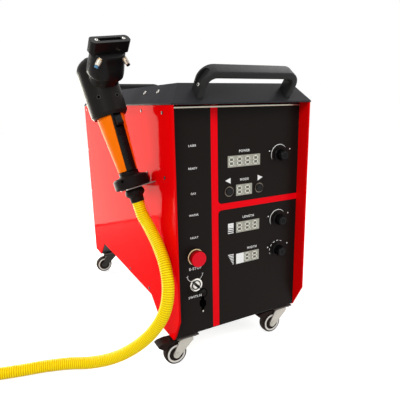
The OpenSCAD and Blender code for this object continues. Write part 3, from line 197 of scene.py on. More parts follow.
# A darker yellow for the hose's grooves: painted shade in the creases between the ribs
HOSE_GROOVE_SHADE = make("hose_groove_painted_shade", srgb(230, 186, 0), 0.5, var=0.05, scale=8, bump=0.2, grain=900,
              spec=0.05)
ZINC = make("zinc_plate", srgb(188, 184, 174), 0.34, metal=0.6, var=0.1, scale=60,
            rough_var=0.1, bump=0.2, grain=900)
DARK_ZINC = make("black_zinc", srgb(44, 42, 38), 0.35, metal=0.6, var=0.15, scale=60,
                 rough_var=0.1, bump=0.2, grain=900)
DULL_ZINC = make("dull_zinc_plate", srgb(84, 80, 76), 0.45, metal=0.4, var=0.1, scale=60,
                 bump=0.2, grain=900)
# Chrome darkened to stand in for the dark surroundings it reflects: painted shade in the reflection
BEZEL_SHADED_CHROME = make("chrome_painted_dark_reflection", srgb(112, 104, 94), 0.25, metal=0.9, bump=0.1, grain=1500)
KNOB = make("knob_black", srgb(10, 9, 9), 0.35, var=0.12, bump=0.25, grain=2400, spec=0.08)
STEEL = make("turned_steel", srgb(215, 212, 205), 0.22, metal=1.0, var=0.05, bump=0.1,
             grain=1500)
SATIN_STEEL = make("satin_steel", srgb(150, 146, 142), 0.42, metal=0.7, var=0.06, bump=0.1,
                   grain=1500)
BLACK = make("black_plastic", srgb(15, 14, 14), 0.28, var=0.12, bump=0.25, grain=2400,
             spec=0.16)
DARK_METAL = make("dark_metal", srgb(26, 25, 25), 0.4, metal=0.4, var=0.1, bump=0.2)
TYRE = make("tyre_tread", srgb(36, 29, 26), 0.55, var=0.15, scale=60, bump=0.5, grain=1200,
            distance=0.0002, spec=0.05)
RIM = make("pale_rim", srgb(222, 218, 212), 0.4, var=0.04, bump=0.15)
HUB = make("brown_hub", srgb(74, 60, 53), 0.45, var=0.1, scale=50, bump=0.25)
PEDAL = make("brown_pedal", srgb(32, 21, 18), 0.35, var=0.15, scale=40, bump=0.3, spec=0.05)
# Near-black that stands in for shade: in the gun's screw pits and on the spare key's ring
PAINTED_SHADE_BLACK = make("painted_shade_black", srgb(3, 3, 3), 0.9, var=0.2, bump=0.1, spec=0.0)
# A lighter grey: a painted highlight on the pits' chamfers, and the colour of the knobs' pointer lines
RIM_HIGHLIGHT_AND_POINTER = make("rim_highlight_and_pointer_grey", srgb(66, 63, 60), 0.4, var=0.1, bump=0.1, spec=0.2)
FACE = make("display_face", srgb(166, 165, 152), 0.35, var=0.05, scale=90, bump=0.1, spec=0.2)
SEGMENT = make("digit_segment", srgb(226, 225, 214), 0.4, var=0.03, scale=200, bump=0.1)
MODULE_LINE = make("module_line", srgb(104, 103, 94), 0.5, var=0.05, bump=0.1)
DIGIT_HOLE = make("digit_hole", srgb(106, 104, 94), 0.4, var=0.06, scale=200, bump=0.1,
                  spec=0.2)
WHITE = make("white_print", srgb(236, 236, 234), 0.5, var=0.03, scale=120, bump=0.2)
TILE = make("white_tile", srgb(240, 240, 238), 0.35, var=0.02, scale=60, bump=0.1)
STOP = make("stop_red", srgb(222, 16, 36), 0.3, var=0.04, scale=40, bump=0.08, spec=0.08)
# A darker copy of the stop's red for the sides of its head: painted shade
STOP_SHADED_SIDE = make("stop_red_painted_shade_side", srgb(178, 8, 14), 0.35, var=0.05, scale=40, bump=0.08,
                 spec=0.08)
STOP_BASE = make("stop_ring", srgb(96, 14, 16), 0.4, bump=0.15, spec=0.1)
GOLD = make("stop_gold", srgb(255, 228, 176), 0.4, var=0.06, scale=60, bump=0.15)
BLUE = make("blue_collet", srgb(62, 122, 158), 0.35, scale=90, bump=0.1)
NICKEL = make("nickel_fitting", srgb(205, 196, 180), 0.3, metal=0.8, scale=80, bump=0.1)
GLASS = make("dark_window", srgb(10, 11, 13), 0.08, var=0.2, bump=0.02, coat=1.0)
BRASS = make("brass", srgb(190, 150, 80), 0.28, metal=1.0, scale=60, bump=0.15)
ALU = make("cast_aluminium", srgb(165, 168, 172), 0.35, metal=0.8, scale=30, bump=0.25)
ROCKER = make("rocker_red", srgb(160, 10, 12), 0.3, var=0.06, bump=0.1, coat=0.4)

BODY_OF = {n: b for b, ns in frame["record"]["behaviour"]["bodies"].items() for n in ns}
SLOT_OF = {s["node"]: s["material_slot"] for s in frame["record"]["subparts"]}
HEXAGON = range(0, 360, 60)


def arc(r, angles, cx=0.0, cy=0.0):
    """Points on an arc, at the given angles in degrees."""
    turns = [math.radians(a) for a in angles]
    return [(cx + r * math.cos(a), cy + r * math.sin(a)) for a in turns]


def tube_faces(rings, sides):
    """Faces of a tube of so many rings, closed at both ends."""
    faces = []
    for i in range(rings - 1):
        for k in range(sides):
            j = (k + 1) % sides
            faces.append([i * sides + k, i * sides + j, (i + 1) * sides + j, (i + 1) * sides + k])
    return faces + [list(range(sides))[::-1], [(rings - 1) * sides + k for k in range(sides)]]


class Shape:
    """A mesh under construction, in cabinet millimetres. A face's kind is its material's index."""

    def __init__(self):
        self.verts, self.faces, self.kinds = [], [], []

    def add(self, verts, faces, kind=0, matrix=None):
        n = len(self.verts)
        for p in verts:
            p = Vector(p)
            self.verts.append(matrix @ p if matrix else p)
        for f in faces:
            self.faces.append([n + i for i in f])
            self.kinds.append(kind)

    def lathe(self, profile, matrix, seg=48, kind=0):
        """A form turned about z from (radius, height) pairs. Only the last radius may be 0."""
        verts, faces, rings = [], [], []
        for r, z in profile:
            count = seg if r else 1
            rings.append(list(range(len(verts), len(verts) + count)))
            turns = [2 * math.pi * i / seg for i in range(count)]
            verts += [(r * math.cos(a), r * math.sin(a), z) for a in turns]
        for a, b in zip(rings, rings[1:]):
            for i in range(seg):
                j = (i + 1) % seg
                faces.append([a[i], a[j], b[0]] if len(b) == 1 else [a[i], a[j], b[j], b[i]])
        faces.append(rings[0][::-1])
        if len(rings[-1]) > 1:
            faces.append(rings[-1])
        self.add(verts, faces, kind, matrix)

    def ring(self, inner, outer, z0, z1, matrix, seg=64, kind=0, start=0.0, end=360.0):
        """A flat ring, or an arc of it, from z0 to z1."""
        full = abs(end - start) >= 359.9
        n = seg if full else seg + 1
        verts = []
        for i in range(n):
            a = math.radians(start + (end - start) * i / seg)
            for r, z in ((inner, z0), (outer, z0), (outer, z1), (inner, z1)):
                verts.append((r * math.cos(a), r * math.sin(a), z))
        faces = []
        for i in range(seg):
            a, b = 4 * i, 4 * ((i + 1) % n)
            for q in range(4):
                faces.append([a + q, a + (q + 1) % 4, b + (q + 1) % 4, b + q][::-1])
        if not full:
            faces.append([0, 1, 2, 3][::-1])
            faces.append([4 * seg + q for q in range(4)])
        self.add(verts, faces, kind, matrix)

    def prism(self, outline, z0, z1, matrix, kind=0):
        n = len(outline)
        verts = [(x, y, z0) for x, y in outline] + [(x, y, z1) for x, y in outline]
        faces = [list(range(n))[::-1], [n + i for i in range(n)]]
        faces += [[i, (i + 1) % n, n + (i + 1) % n, n + i] for i in range(n)]
        self.add(verts, faces, kind, matrix)

    def block(self, x0, x1, y0, y1, z0, z1, kind=0, matrix=Matrix.Identity(4)):
        self.prism([(x0, y0), (x1, y0), (x1, y1), (x0, y1)], z0, z1, matrix, kind)

    def build(self, name, mats, body, replaces=(), slot=None, bevel=0.0, sharp=35):
        me = bpy.data.meshes.new(name)
        me.from_pydata([m(p) for p in self.verts], [], self.faces)
        for mat in mats:
            me.materials.append(mat)
        me.polygons.foreach_set("material_index", self.kinds)
        me.update()
        bm = bmesh.new()
        bm.from_mesh(me)
        bmesh.ops.remove_doubles(bm, verts=bm.verts, dist=1e-6)
        bmesh.ops.recalc_face_normals(bm, faces=bm.faces)
        bm.to_mesh(me)
        bm.free()
        return finish_piece(name, me, body, replaces, bevel, 2, sharp)


def finish_piece(name, me, body, replaces=(), bevel=0.0, segments=2, sharp=35):
    """An object for the mesh: smooth, rounded by bevel millimetres at edges over sharp degrees."""
    ob = link(bpy.data.objects.new(name, me))
    me.polygons.foreach_set("use_smooth", [True] * len(me.polygons))
    me.set_sharp_from_angle(angle=math.radians(sharp))
    if bevel:
        b = ob.modifiers.new("rounding", "BEVEL")
        b.width = bevel / 1000
        b.segments = segments
        b.limit_method = "ANGLE"
        b.angle_limit = math.radians(sharp)
        b.harden_normals = True
        b.use_clamp_overlap = True
    if body:
        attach(ob, body)
    if replaces:
        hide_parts(*replaces)
    return ob


def dress(node, mat, bevel=0.5, segments=2, sharp=30):
    """A rounded copy of a CAD node stands for it, with a procedural material."""
    bm = bmesh.new()
    bm.from_mesh(frame["nodes"][node].data)
    bmesh.ops.remove_doubles(bm, verts=bm.verts, dist=2e-6)
    bmesh.ops.dissolve_limit(bm, angle_limit=math.radians(0.4), verts=bm.verts, edges=bm.edges)
    me = bpy.data.meshes.new(node + "_skin")
    bm.to_mesh(me)
    bm.free()
    for k in list(me.attributes.keys()):
        if k.startswith("custom_normal"):
            me.attributes.remove(me.attributes[k])
    me.materials.clear()
    me.materials.append(mat)
    me.polygons.foreach_set("material_index", [0] * len(me.polygons))
    return finish_piece(node + "_skin", me, BODY_OF[node], (node,), bevel,
                        segments, sharp)


def keep(node, mat):
    """A CAD node that stays, with a procedural material."""
    me = frame["nodes"][node].data
    me.materials.clear()
    me.materials.append(mat)


def second_material(ob, mat, test):
    """Another material on the faces whose normal passes the test."""
    ob.data.materials.append(mat)
    for face in ob.data.polygons:
        if test(face.normal):
            face.material_index = 1


# Hose: the same route as in the CAD source. It follows the gun's lift as far as STILL_FROM
HOSE_D, TAIL_BELOW = 25.0, 31.2
LYING = HOSE_D / 2
TAIL = Vector(GUN_AT) - TAIL_BELOW * GUN_AXIS
STILL_FROM = (-238, 51.5, 62.5)
COIL_MID = (-708.0, 70.0)
COIL_ANGLE, COIL_R, PITCH, LAYER, TURNS, TAIL_TURN = 75.0, 160.0, 27.0, 26.0, 4, 180.0
COIL_END = TURNS * 360 + TAIL_TURN
DOWN = [(-180.5, 92, 304), (-174, 57.5, 268.5), (-174, 24.5, 233.5), (-177.5, 7.5, 192.5),
        (-188, 6.5, 147.5), (-209, 23.5, 102.5), STILL_FROM, (-274, 83.5, 32),
        (-315, 114.5, 16), (-358, 139.5, 13.2), (-402, 155, 12.7), (-445.5, 165, 12.6),
        (-488, 176, 12.5), (-535, 189, 12.5)]


def coil_at(a):
    """A place on the coil: out in the lower layer, back in the upper, and the last half turn."""
    half = TURNS * 180
    over = max(0, a - 2 * half) / TAIL_TURN * math.pi / 2
    if a > 2 * half:
        base, raised = COIL_R, LAYER * math.cos(over)
    else:
        base = COIL_R - PITCH * (half - abs(a - half)) / 360
        raised = LAYER * min(1, max(0, (a - half + 90) / 180))
    r = base + PITCH * math.sin(over)
    w = math.radians(COIL_ANGLE + a)
    return Vector((COIL_MID[0] + r * math.cos(w), COIL_MID[1] + r * math.sin(w), LYING + raised))


def coil_heading(a):
    w = math.radians(COIL_ANGLE + a)
    return Vector((-math.sin(w), math.cos(w), 0))


def slope_at(p, i):
    if i <= 1:
        return (p[1] - p[0]).normalized()
    if i >= len(p) - 2:
        return (p[-1] - p[-2]).normalized()
    return (p[i + 1] - p[i - 1]).normalized()


def along(p, i, u):
    length = (p[i + 1] - p[i]).length
    a, b = slope_at(p, i) * length, slope_at(p, i + 1) * length
    return ((2 * u ** 3 - 3 * u * u + 1) * p[i] + (u ** 3 - 2 * u * u + u) * a
            + (3 * u * u - 2 * u ** 3) * p[i + 1] + (u ** 3 - u * u) * b)


def evenly(points, step):
    out, need, last = [points[0]], step, points[0]
    for p in points[1:]:
        while (p - last).length >= need:
            last = last + (p - last).normalized() * need
            out.append(last)
            need = step
        need -= (p - last).length
        last = p
    if (out[-1] - points[-1]).length > step * 0.3:
        out.append(points[-1])
    return out


def sweep(points, radii, sides):
    """Places on the rings of a tube along the points."""
    normal, verts = Vector((1, 0, 0)), []
    for i, p in enumerate(points):
        t = (points[min(len(points) - 1, i + 1)] - points[max(0, i - 1)]).normalized()
        normal = (normal - normal.dot(t) * t).normalized()
        side = t.cross(normal)
        turns = [2 * math.pi * k / sides for k in range(sides)]
        verts += [p + radii[i] * (math.cos(a) * normal + math.sin(a) * side) for a in turns]
    return verts


join = coil_at(0) - HOSE_D * coil_heading(0)
route = [TAIL, TAIL - HOSE_D * GUN_AXIS] + [Vector(p) for p in DOWN]
route += [join - HOSE_D * coil_heading(0), join]
curve = [coil_at(a) for a in range(0, int(COIL_END) + 1, 5)]
hose_end = curve[-1] + HOSE_D * coil_heading(COIL_END)
centre = [along(route, i, k / 12) for i in range(len(route) - 1) for k in range(12)]
centre += [join] + curve + [hose_end]

# Each rib is cut in eight steps. Four rings are kept of them: two on the crown, two in the groove
RIB, SIDES = 4.4, 18
RING_STEPS, RING_DEPTHS = (0, 5, 6, 7), (0.1, 0.0, 1.1, 1.1)
steps = [p for i, p in enumerate(evenly(centre, RIB / 8)) if i % 8 in RING_STEPS]
hose = Shape()
hose.add(sweep(steps, [LYING - RING_DEPTHS[i % 4] for i in range(len(steps))], SIDES),
         tube_faces(len(steps), SIDES))
# The groove and slope faces take the darker yellow of the painted shade
for i in range(len(steps) - 1):
    if i % 4:
        hose.kinds[i * SIDES:(i + 1) * SIDES] = [1] * SIDES
hose_me = bpy.data.meshes.new("hose_skin")
hose_me.from_pydata([m(p) for p in hose.verts], [], hose.faces)
hose_me.materials.append(YELLOW)
hose_me.materials.append(HOSE_GROOVE_SHADE)
hose_me.polygons.foreach_set("material_index", hose.kinds)
hose_ob = finish_piece("hose_skin", hose_me, None, (), sharp=80)
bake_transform(hose_ob, "gun", "cabinet", start=m(TAIL), end=m(STILL_FROM))
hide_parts("hose", "hose_coil")

# The connector at the far end: ferrule, boot, knurled nut, shell and three contacts
NUT_R = 15.0
con = Shape()
turned = rot("Z", COIL_ANGLE + COIL_END + 90) @ rot("Y", 90)
here = move(hose_end.x, hose_end.y, NUT_R) @ turned
con.lathe([(12.4, 0), (12.8, 1), (12.8, 10.5)], move(hose_end.x, hose_end.y, 12.8) @ turned, 32)
boot = [(12.6, 10.5)]
for i in range(6):
    z = 11.3 + i * 3.7
    boot += [(13.9, z), (13.9, z + 2.2), (12.9, z + 2.5), (12.9, z + 3.4)]
con.lathe(boot + [(13.6, 33.8)], here, 32)
turns = [(2 * math.pi * i / 48, NUT_R if i % 2 else 14.2) for i in range(48)]
con.prism([(r * math.cos(a), r * math.sin(a)) for a, r in turns], 35, 55, here, 1)
con.lathe([(13.6, 34), (14, 34.6), (14, 35.2)], here, 48, 1)
con.lathe([(14, 54.8), (14, 55.4), (13.4, 56)], here, 48, 1)
con.ring(9, 11, 56, 80, here, 48, 2)
con.lathe([(9, 60), (9, 66), (0, 66)], here, 32, 3)
for a in (90, 210, 330):
    con.lathe([(1.3, 66), (1.3, 73), (0.8, 74), (0, 74)], here @ rot("Z", a) @ move(4.6, 0, 0),
              14, 2)
con_ob = con.build("connector_skin", [RUBBER, DARK_METAL, NICKEL, BLACK], "cabinet",
                   ("hose_connector",), "gun_black", 0.25)

# Cabinet. The front flanges are as narrow as in the photograph, and what is recessed between
# them reaches as far out
FLANGE_LESS = 3.9
FLANGE_INNER, FLANGE_OUTER, FLANGE_DEEPEST = HALF_W - 8.5, HALF_W - 5.5, 31
STRIP_MIDDLE, STRIP_LIFT, STRIP_SHARE = 537, 2, 0.7


def spread(ob, inner, outer, deepest=DEPTH):
    """What lies between two distances from the middle moves outwards, down to a depth."""
    for v in ob.data.vertices:
        x, y = v.co.x * 1000 - OX, v.co.y * 1000 - OY
        if inner < abs(x) < outer and y < deepest:
            v.co.x += math.copysign(FLANGE_LESS / 1000, x)


panels = [dress("side_panel_left", RED_SIDE), dress("side_panel_right", RED_SIDE)]
dress("front_panel", RED_PANEL, 0.3)
recessed = [dress("front_films", FILM, 0.0), dress("trim_strip", TRIM, 0.3)]
for ob in panels:
    spread(ob, FLANGE_INNER, FLANGE_OUTER, FLANGE_DEEPEST)
for ob in recessed:
    reach = max(abs(v.co.x * 1000 - OX) for v in ob.data.vertices)
    spread(ob, reach - 0.6, reach + 1)
# The bright strip is slimmer than its solid, and its middle is nearer to the roof
for v in recessed[1].data.vertices:
    up = (v.co.z * 1000 - STRIP_MIDDLE) * STRIP_SHARE
    v.co.z = (STRIP_MIDDLE + STRIP_LIFT + up) / 1000
roof = dress("roof_cover", ROOF, 1.2, 3, 12)
# The side slopes take the lighter copy of the powder coat: painted light
second_material(roof, ROOF_LIT_SIDES, lambda n: abs(n.x) > 0.3)
dress("base_pan", PAN, 0.8)
dress("rear_panel", PAN, 0.3)
dress("gun_holder", SATIN_STEEL, 0.3)


# Socket screws, with their radius and height: dark on the side panels, bright elsewhere
SIDE_SCREW, ROOF_SCREW, HANDLE_SCREW, NOZZLE_SCREW = (3.4, 1.2), (3.9, 2.4), (3.6, 2.2), (3.2, 1.6)


def cap_screw(shape, matrix, size, kind=0, hole=1):
    r, h = size
    shape.lathe([(r, 0), (r, h * 0.55), (r * 0.93, h * 0.82), (r * 0.72, h), (r * 0.5, h)],
                matrix, 32, kind)
    shape.prism(arc(r * 0.48, HEXAGON), h - 0.05, h + 0.03, matrix, hole)


SIDE_SCREWS = [(43, 530), (155, 533), (43, 408), (665, 272), (162, 130), (296, 130), (665, 408),
               (648, 533)]
SLOPE_X, SLOPE_FOOT, SLOPE_IN, SLOPE_UP = 161, 547, 28, 36
SCREW_UP_SLOPE = 0.62
side_screws, roof_screws = Shape(), Shape()
for s in (-1, 1):
    for y, z in SIDE_SCREWS:
        cap_screw(side_screws, move(s * HALF_W, y, z) @ rot("Y", 90 * s), SIDE_SCREW)
    x, z = s * (SLOPE_X - SLOPE_IN * SCREW_UP_SLOPE), SLOPE_FOOT + SLOPE_UP * SCREW_UP_SLOPE
    tilt = rot("Y", s * math.degrees(math.atan(SLOPE_UP / SLOPE_IN)))
    for y in (DEPTH / 7, DEPTH / 4):
        cap_screw(roof_screws, move(x, y, z) @ tilt, ROOF_SCREW)
side_screws.build("side_screws", [DARK_METAL, BLACK], "cabinet", ("panel_screws",), "zinc", 0.15)
roof_screws.build("roof_screws", [STEEL, BLACK], "cabinet", ("panel_screws",), "zinc", 0.2)

# Handles: a rounded section swept along the legs, the bends and the bar
HANDLE_HALF, HANDLE_REACH, HANDLE_BEND, HANDLE_FOOT = 101.5, 48.0, 22.0, -6.0
SECTION_X, SECTION_Y, SECTION_R = 7.0, 15.0, 4.2
SCREW_AT, SCREW_TURN = (100.4, 0, 33), 67.7


def corners(x, y, r, per_corner, lift=0.0):
    """A rectangle of half widths x and y with corners of radius r."""
    out = []
    for sx, sy, start in ((1, 1, 0), (-1, 1, 90), (-1, -1, 180), (1, -1, 270)):
        angles = [start + 90 * k / (per_corner - 1) for k in range(per_corner)]
        out += arc(r, angles, sx * (x - r), sy * (y - r) + lift)
    return out


def capsule(length, r):
    return (arc(r, [-90 + 22.5 * k for k in range(9)], length / 2)
            + arc(r, [90 + 22.5 * k for k in range(9)], -length / 2))


RECESS, RECESS_FLOOR, RECESS_OUT = capsule(24, 8.4), -1.2, 14


def handle_body():
    path = [(-HANDLE_HALF, HANDLE_FOOT, 90.0)]
    for s, start in ((-1, 180.0), (1, 90.0)):
        angles = [start - 7.5 * i for i in range(13)]
        bend = arc(HANDLE_BEND, angles, s * (HANDLE_HALF - HANDLE_BEND),
                   HANDLE_REACH - HANDLE_BEND)
        path += [(x, z, a - 90) for (x, z), a in zip(bend, angles)]
    path.append((HANDLE_HALF, HANDLE_FOOT, -90.0))
    section = corners(SECTION_X, SECTION_Y, SECTION_R, 5)
    verts = []
    for x, z, heading in path:
        h = math.radians(heading)
        verts += [(x - a * math.sin(h), b, z + a * math.cos(h)) for a, b in section]
    return verts, tube_faces(len(path), len(section))


def handle(node, where):
    """A handle with an oval recess and a screw in it at each bend."""
    name = node + "_skin"
    body, cut, screws = Shape(), Shape(), Shape()
    body.add(*handle_body(), 0, where)
    ob = body.build(name, [MOULDED, BLACK], "cabinet", (node,), "black_plastic", 0.0, 50)
    for s in (-1, 1):
        bend = where @ move(s * SCREW_AT[0], *SCREW_AT[1:]) @ rot("Y", s * SCREW_TURN)
        cut.prism(RECESS, RECESS_FLOOR, RECESS_OUT, bend)
        cap_screw(screws, bend @ move(s * 14, 0, -1.4), HANDLE_SCREW)
    cutter = cut.build(name + "_cut", [], None)
    mod = ob.modifiers.new("recess", "BOOLEAN")
    mod.operation = "DIFFERENCE"
    mod.solver = "EXACT"
    mod.object = cutter
    bpy.context.view_layer.update()
    dg = bpy.context.evaluated_depsgraph_get()
    done = bpy.data.meshes.new_from_object(ob.evaluated_get(dg))
    ob.modifiers.clear()
    ob.data = done
    bpy.data.objects.remove(cutter)
    done.polygons.foreach_set("use_smooth", [True] * len(done.polygons))
    done.set_sharp_from_angle(angle=math.radians(38))
    screws.build(name + "_screws", [STEEL, BLACK], "cabinet", (), "zinc", 0.15)


MIRRORED = Matrix(((1, 0, 0, 0), (0, -1, 0, DEPTH), (0, 0, 1, 0), (0, 0, 0, 1)))
handle("front_handle", HANDLE)
handle("rear_handle", MIRRORED @ HANDLE)

# Displays: bright strokes behind the face's plane, lines between the modules, and a blank tile.
# Each has its left edge, its number of modules and the height of its middle
FILM_Y = 28.4
DISPLAYS = {"power_display": (-27.0, 4, 429.0), "mode_display": (-7.0, 2, 368.0),
            "length_display": (-7.0, 3, 287.0), "width_display": (-7.0, 3, 216.0)}
BLANK, TILE_FROM, TILE_TO, TILE_HALF = ("width_display", 0), 0.4, 19.8, 11.4
MODULE_W, MODULE_H, INSET = 20.0, 23.5, 2.6
DIGIT_W, DIGIT_H, STROKE = MODULE_W - 3 * INSET, MODULE_H - 2 * INSET, MODULE_W * 0.11
GAP = STROKE * 0.12
UPRIGHT = (DIGIT_H - 3 * STROKE) / 2
TRIMMED = 0.1


def front(x, z, out=0.0):
    """A frame on the film, with its z axis towards the viewer."""
    return move(x, FILM_Y - out, z) @ rot("X", 90)


def digit(shape, left, low):
    y0, y1 = FILM_Y + 0.05, FILM_Y + 0.38
    for z in (0, (DIGIT_H - STROKE) / 2, DIGIT_H - STROKE):
        shape.block(left + STROKE + GAP + TRIMMED, left + DIGIT_W - STROKE - GAP - TRIMMED, y0, y1,
                    low + z + TRIMMED, low + z + STROKE - TRIMMED)
    halves = (STROKE, (DIGIT_H + STROKE) / 2)
    for x in (0, DIGIT_W - STROKE):
        for z in halves:
            shape.block(left + x + TRIMMED, left + x + STROKE - TRIMMED, y0, y1,
                        low + z + GAP + TRIMMED, low + z + GAP + UPRIGHT - 2 * GAP - TRIMMED)
    for z in halves:
        shape.block(left + STROKE + 0.5, left + DIGIT_W - STROKE - 0.5, FILM_Y - 0.04,
                    FILM_Y + 0.2, low + z + 0.6, low + z + UPRIGHT - 0.6, 3)
    shape.lathe([(1.0, -0.03), (1.0, 0.06), (0, 0.06)], front(left + DIGIT_W + 2.2, low + 1.2), 16)


digits = Shape()
for name, (x0, count, mid) in DISPLAYS.items():
    keep(name, FACE)
    low, high = mid - MODULE_H / 2, mid + MODULE_H / 2
    for i in range(count):
        if (name, i) != BLANK:
            digit(digits, x0 + i * MODULE_W + INSET, low + INSET)
    for i in range(1, count):
        x = x0 + i * MODULE_W
        digits.block(x - 0.25, x + 0.25, FILM_Y - 0.05, FILM_Y + 0.1, low, high, 1)
    if name == BLANK[0]:
        digits.block(x0 + TILE_FROM, x0 + TILE_TO, FILM_Y - 0.25, FILM_Y + 0.02,
                     mid - TILE_HALF, mid + TILE_HALF, 2)
digits.build("digit_segments", [SEGMENT, MODULE_LINE, TILE, DIGIT_HOLE], "cabinet", (),
             "display_face")

# Prints on the film: arcs, dots, triangles, bars and plain words
KNOBS = {"knob_power": (104.0, 435.0), "knob_length": (104.0, 290.0),
         "knob_width": (104.0, 217.5)}
PRINT_LOW, PRINT_HIGH = 0.02, 0.08
ARC_R, ARC_START, ARC_END, ARC_WIDE, ARC_THIN, ARC_STEPS = 21.5, 205, 42, 1.5, 0.5, 48
DOT = [(1.5, PRINT_LOW), (1.5, PRINT_HIGH), (0, PRINT_HIGH)]
TRIANGLES = (((-33.4, 390.8), (-20.6, 383.9), (-20.6, 395.9)),
             ((60.1, 389.8), (47.2, 395.5), (47.4, 383.1)))
KEY_LINES = (
    (1.1, ((-123.9, 202.4), (-125.0, 198.3), (-123.6, 194.6), (-121.2, 191.6), (-117.8, 188.8))),
    (0.8, ((-127.4, 200.6), (-125.2, 199.0))),
    (1.1, ((-91.0, 202.0), (-90.2, 199.0), (-91.5, 195.8), (-94.2, 192.6), (-97.3, 190.2))),
    (0.8, ((-90.6, 200.6), (-88.4, 201.8))))
WORDS = (("POWER", 13, 449.3, 7), ("MODE", 13.4, 389.6, 7), ("LENGTH", 24.1, 308, 7),
         ("WIDTH", 34.2, 235.8, 7), ("LASER", -107, 467, 5.6), ("READY", -107, 423, 5.6),
         ("GAS", -107, 373, 5.6), ("WATER", -107, 329, 5.6), ("FAULT", -107, 282, 5.6),
         ("E-STOP", -106.5, 215.6, 8), ("SWITCH", -108.5, 152.8, 7.4))
marks = Shape()


def mark_arc(x, z, dashed):
    """The arc round a knob, widest in its middle, or in dashes of four steps."""
    for i in range(ARC_STEPS):
        if dashed and (i // 4) % 2:
            continue
        a0, a1 = (ARC_START + (ARC_END - ARC_START) * k / ARC_STEPS for k in (i, i + 1))
        part = math.sin(math.pi * (i + 0.5) / ARC_STEPS) ** 0.7
        w = ARC_THIN + (ARC_WIDE - ARC_THIN) * part
        marks.ring(ARC_R - w / 2, ARC_R + w / 2, PRINT_LOW, PRINT_HIGH, front(x, z), 1, 0, a0, a1)


def mark_bar(x0, x1, z0, z1):
    marks.block(x0, x1, FILM_Y - PRINT_HIGH, FILM_Y - PRINT_LOW, z0, z1)


def mark_line(points, w):
    """A thin line through the given places on the film."""
    for (x0, z0), (x1, z1) in zip(points, points[1:]):
        a = math.atan2(z1 - z0, x1 - x0)
        run = math.hypot(x1 - x0, z1 - z0) / 2 + w / 3
        marks.prism([(-run, -w / 2), (run, -w / 2), (run, w / 2), (-run, w / 2)], PRINT_LOW,
                    PRINT_HIGH, front((x0 + x1) / 2, (z0 + z1) / 2) @ rot("Z", math.degrees(a)))


def mark_word(text, x, z, size):
    c = bpy.data.curves.new("w", "FONT")
    c.body = text
    c.size = size
    c.align_x = "CENTER"
    c.align_y = "CENTER"
    c.space_character = 1.15
    c.offset = size * 0.018
    c.resolution_u = 3
    o = link(bpy.data.objects.new("w", c))
    bpy.context.view_layer.update()
    me = bpy.data.meshes.new_from_object(o.evaluated_get(bpy.context.evaluated_depsgraph_get()))
    marks.add([(v.co.x, v.co.y, PRINT_HIGH) for v in me.vertices],
              [list(p.vertices) for p in me.polygons], 0, front(x, z))
    bpy.data.objects.remove(o)
    bpy.data.meshes.remove(me)


for name, (x, z) in KNOBS.items():
    mark_arc(x, z, name == "knob_width")
    for dx, dz in ((-26.5, 9), (28.6, 10)):
        marks.lathe(DOT, front(x + dx, z + dz), 20)
for triangle in TRIANGLES:
    marks.prism(triangle, PRINT_LOW, PRINT_HIGH, front(0, 0))
# Bars that grow thinner downwards beside one display, and shorter beside the other
for i in range(6):
    z = 298.5 - i * 4.1
    mark_bar(-27.3, -13.4, z - (3.8 if i < 2 else 3.0 - i * 0.25), z)
for i in range(7):
    z = 229 - i * 3.6
    mark_bar(-13.3 - 14 * (1 - i / 7.5), -13.3, z - 1.9, z)
for w, points in KEY_LINES:
    mark_line(points, w)
for word in WORDS:
    mark_word(*word)
marks.build("panel_marks", [WHITE], "cabinet", (), "display_face")

# Buttons and knobs
# The bezels take the darkened chrome, a painted dark reflection
dress("button_bezels", BEZEL_SHADED_CHROME, 0.5, 3)
dress("button_left", BLACK, 0.6, 3)
dress("button_right", BLACK, 0.6, 3)
for name in KNOBS:
    dress(name, KNOB, 0.35)
KNOB_BASE, KNOB_H, POINTER_OUT = 0.5, 19.0, 19.0
for name, (x, z) in KNOBS.items():
    line, cap = Shape(), Shape()
    y = FILM_Y - POINTER_OUT
    line.block(x - 0.45, x + 0.45, y, y + 0.9, z + 0.5, z + 9.6)
    line.build(name + "_pointer", [RIM_HIGHLIGHT_AND_POINTER], name, (), "display_face")
    cap.ring(6.2, 6.8, KNOB_H, KNOB_H + 0.12, front(x, z, KNOB_BASE), 48)
    cap.build(name + "_ring", [DARK_METAL], name, (), "black_plastic")

# Emergency stop and key switch, one above the other
COLUMN_X, STOP_Z, KEY_Z = -106.5, 241.5, 180
dress("stop_base", STOP_BASE, 0.5, 3)
gold = Shape()
gold.ring(15.2, 17.3, 2.2, 3.4, front(COLUMN_X, STOP_Z))
gold.build("stop_ring_gold", [GOLD], BODY_OF["stop_base"], (), "yellow_plastic", 0.3)
dress("stop_stem", BLACK, 0.2)
head = dress("stop_head", STOP, 0.6, 3, 20)
# The head's side faces take the darker red: painted shade
second_material(head, STOP_SHADED_SIDE, lambda n: abs(n.y) < 0.8)
dress("key_switch", STEEL, 0.5, 3)
# A flat black ring in the gap between the key switch's rim and its cylinder: painted shade
groove = Shape()
groove.ring(8.2, 10.6, 3.0, 3.12, front(COLUMN_X, KEY_Z))
groove.build("switch_gap_painted_shade", [BLACK], "cabinet", (), "black_plastic")
dress("main_key", BLACK)
rotor = Shape()
rotor.ring(2.6, 6.9, 2.5, 2.85, front(COLUMN_X, KEY_Z))
rotor.build("rotor_face", [STEEL], "main_key", (), "bright_steel", 0.1)
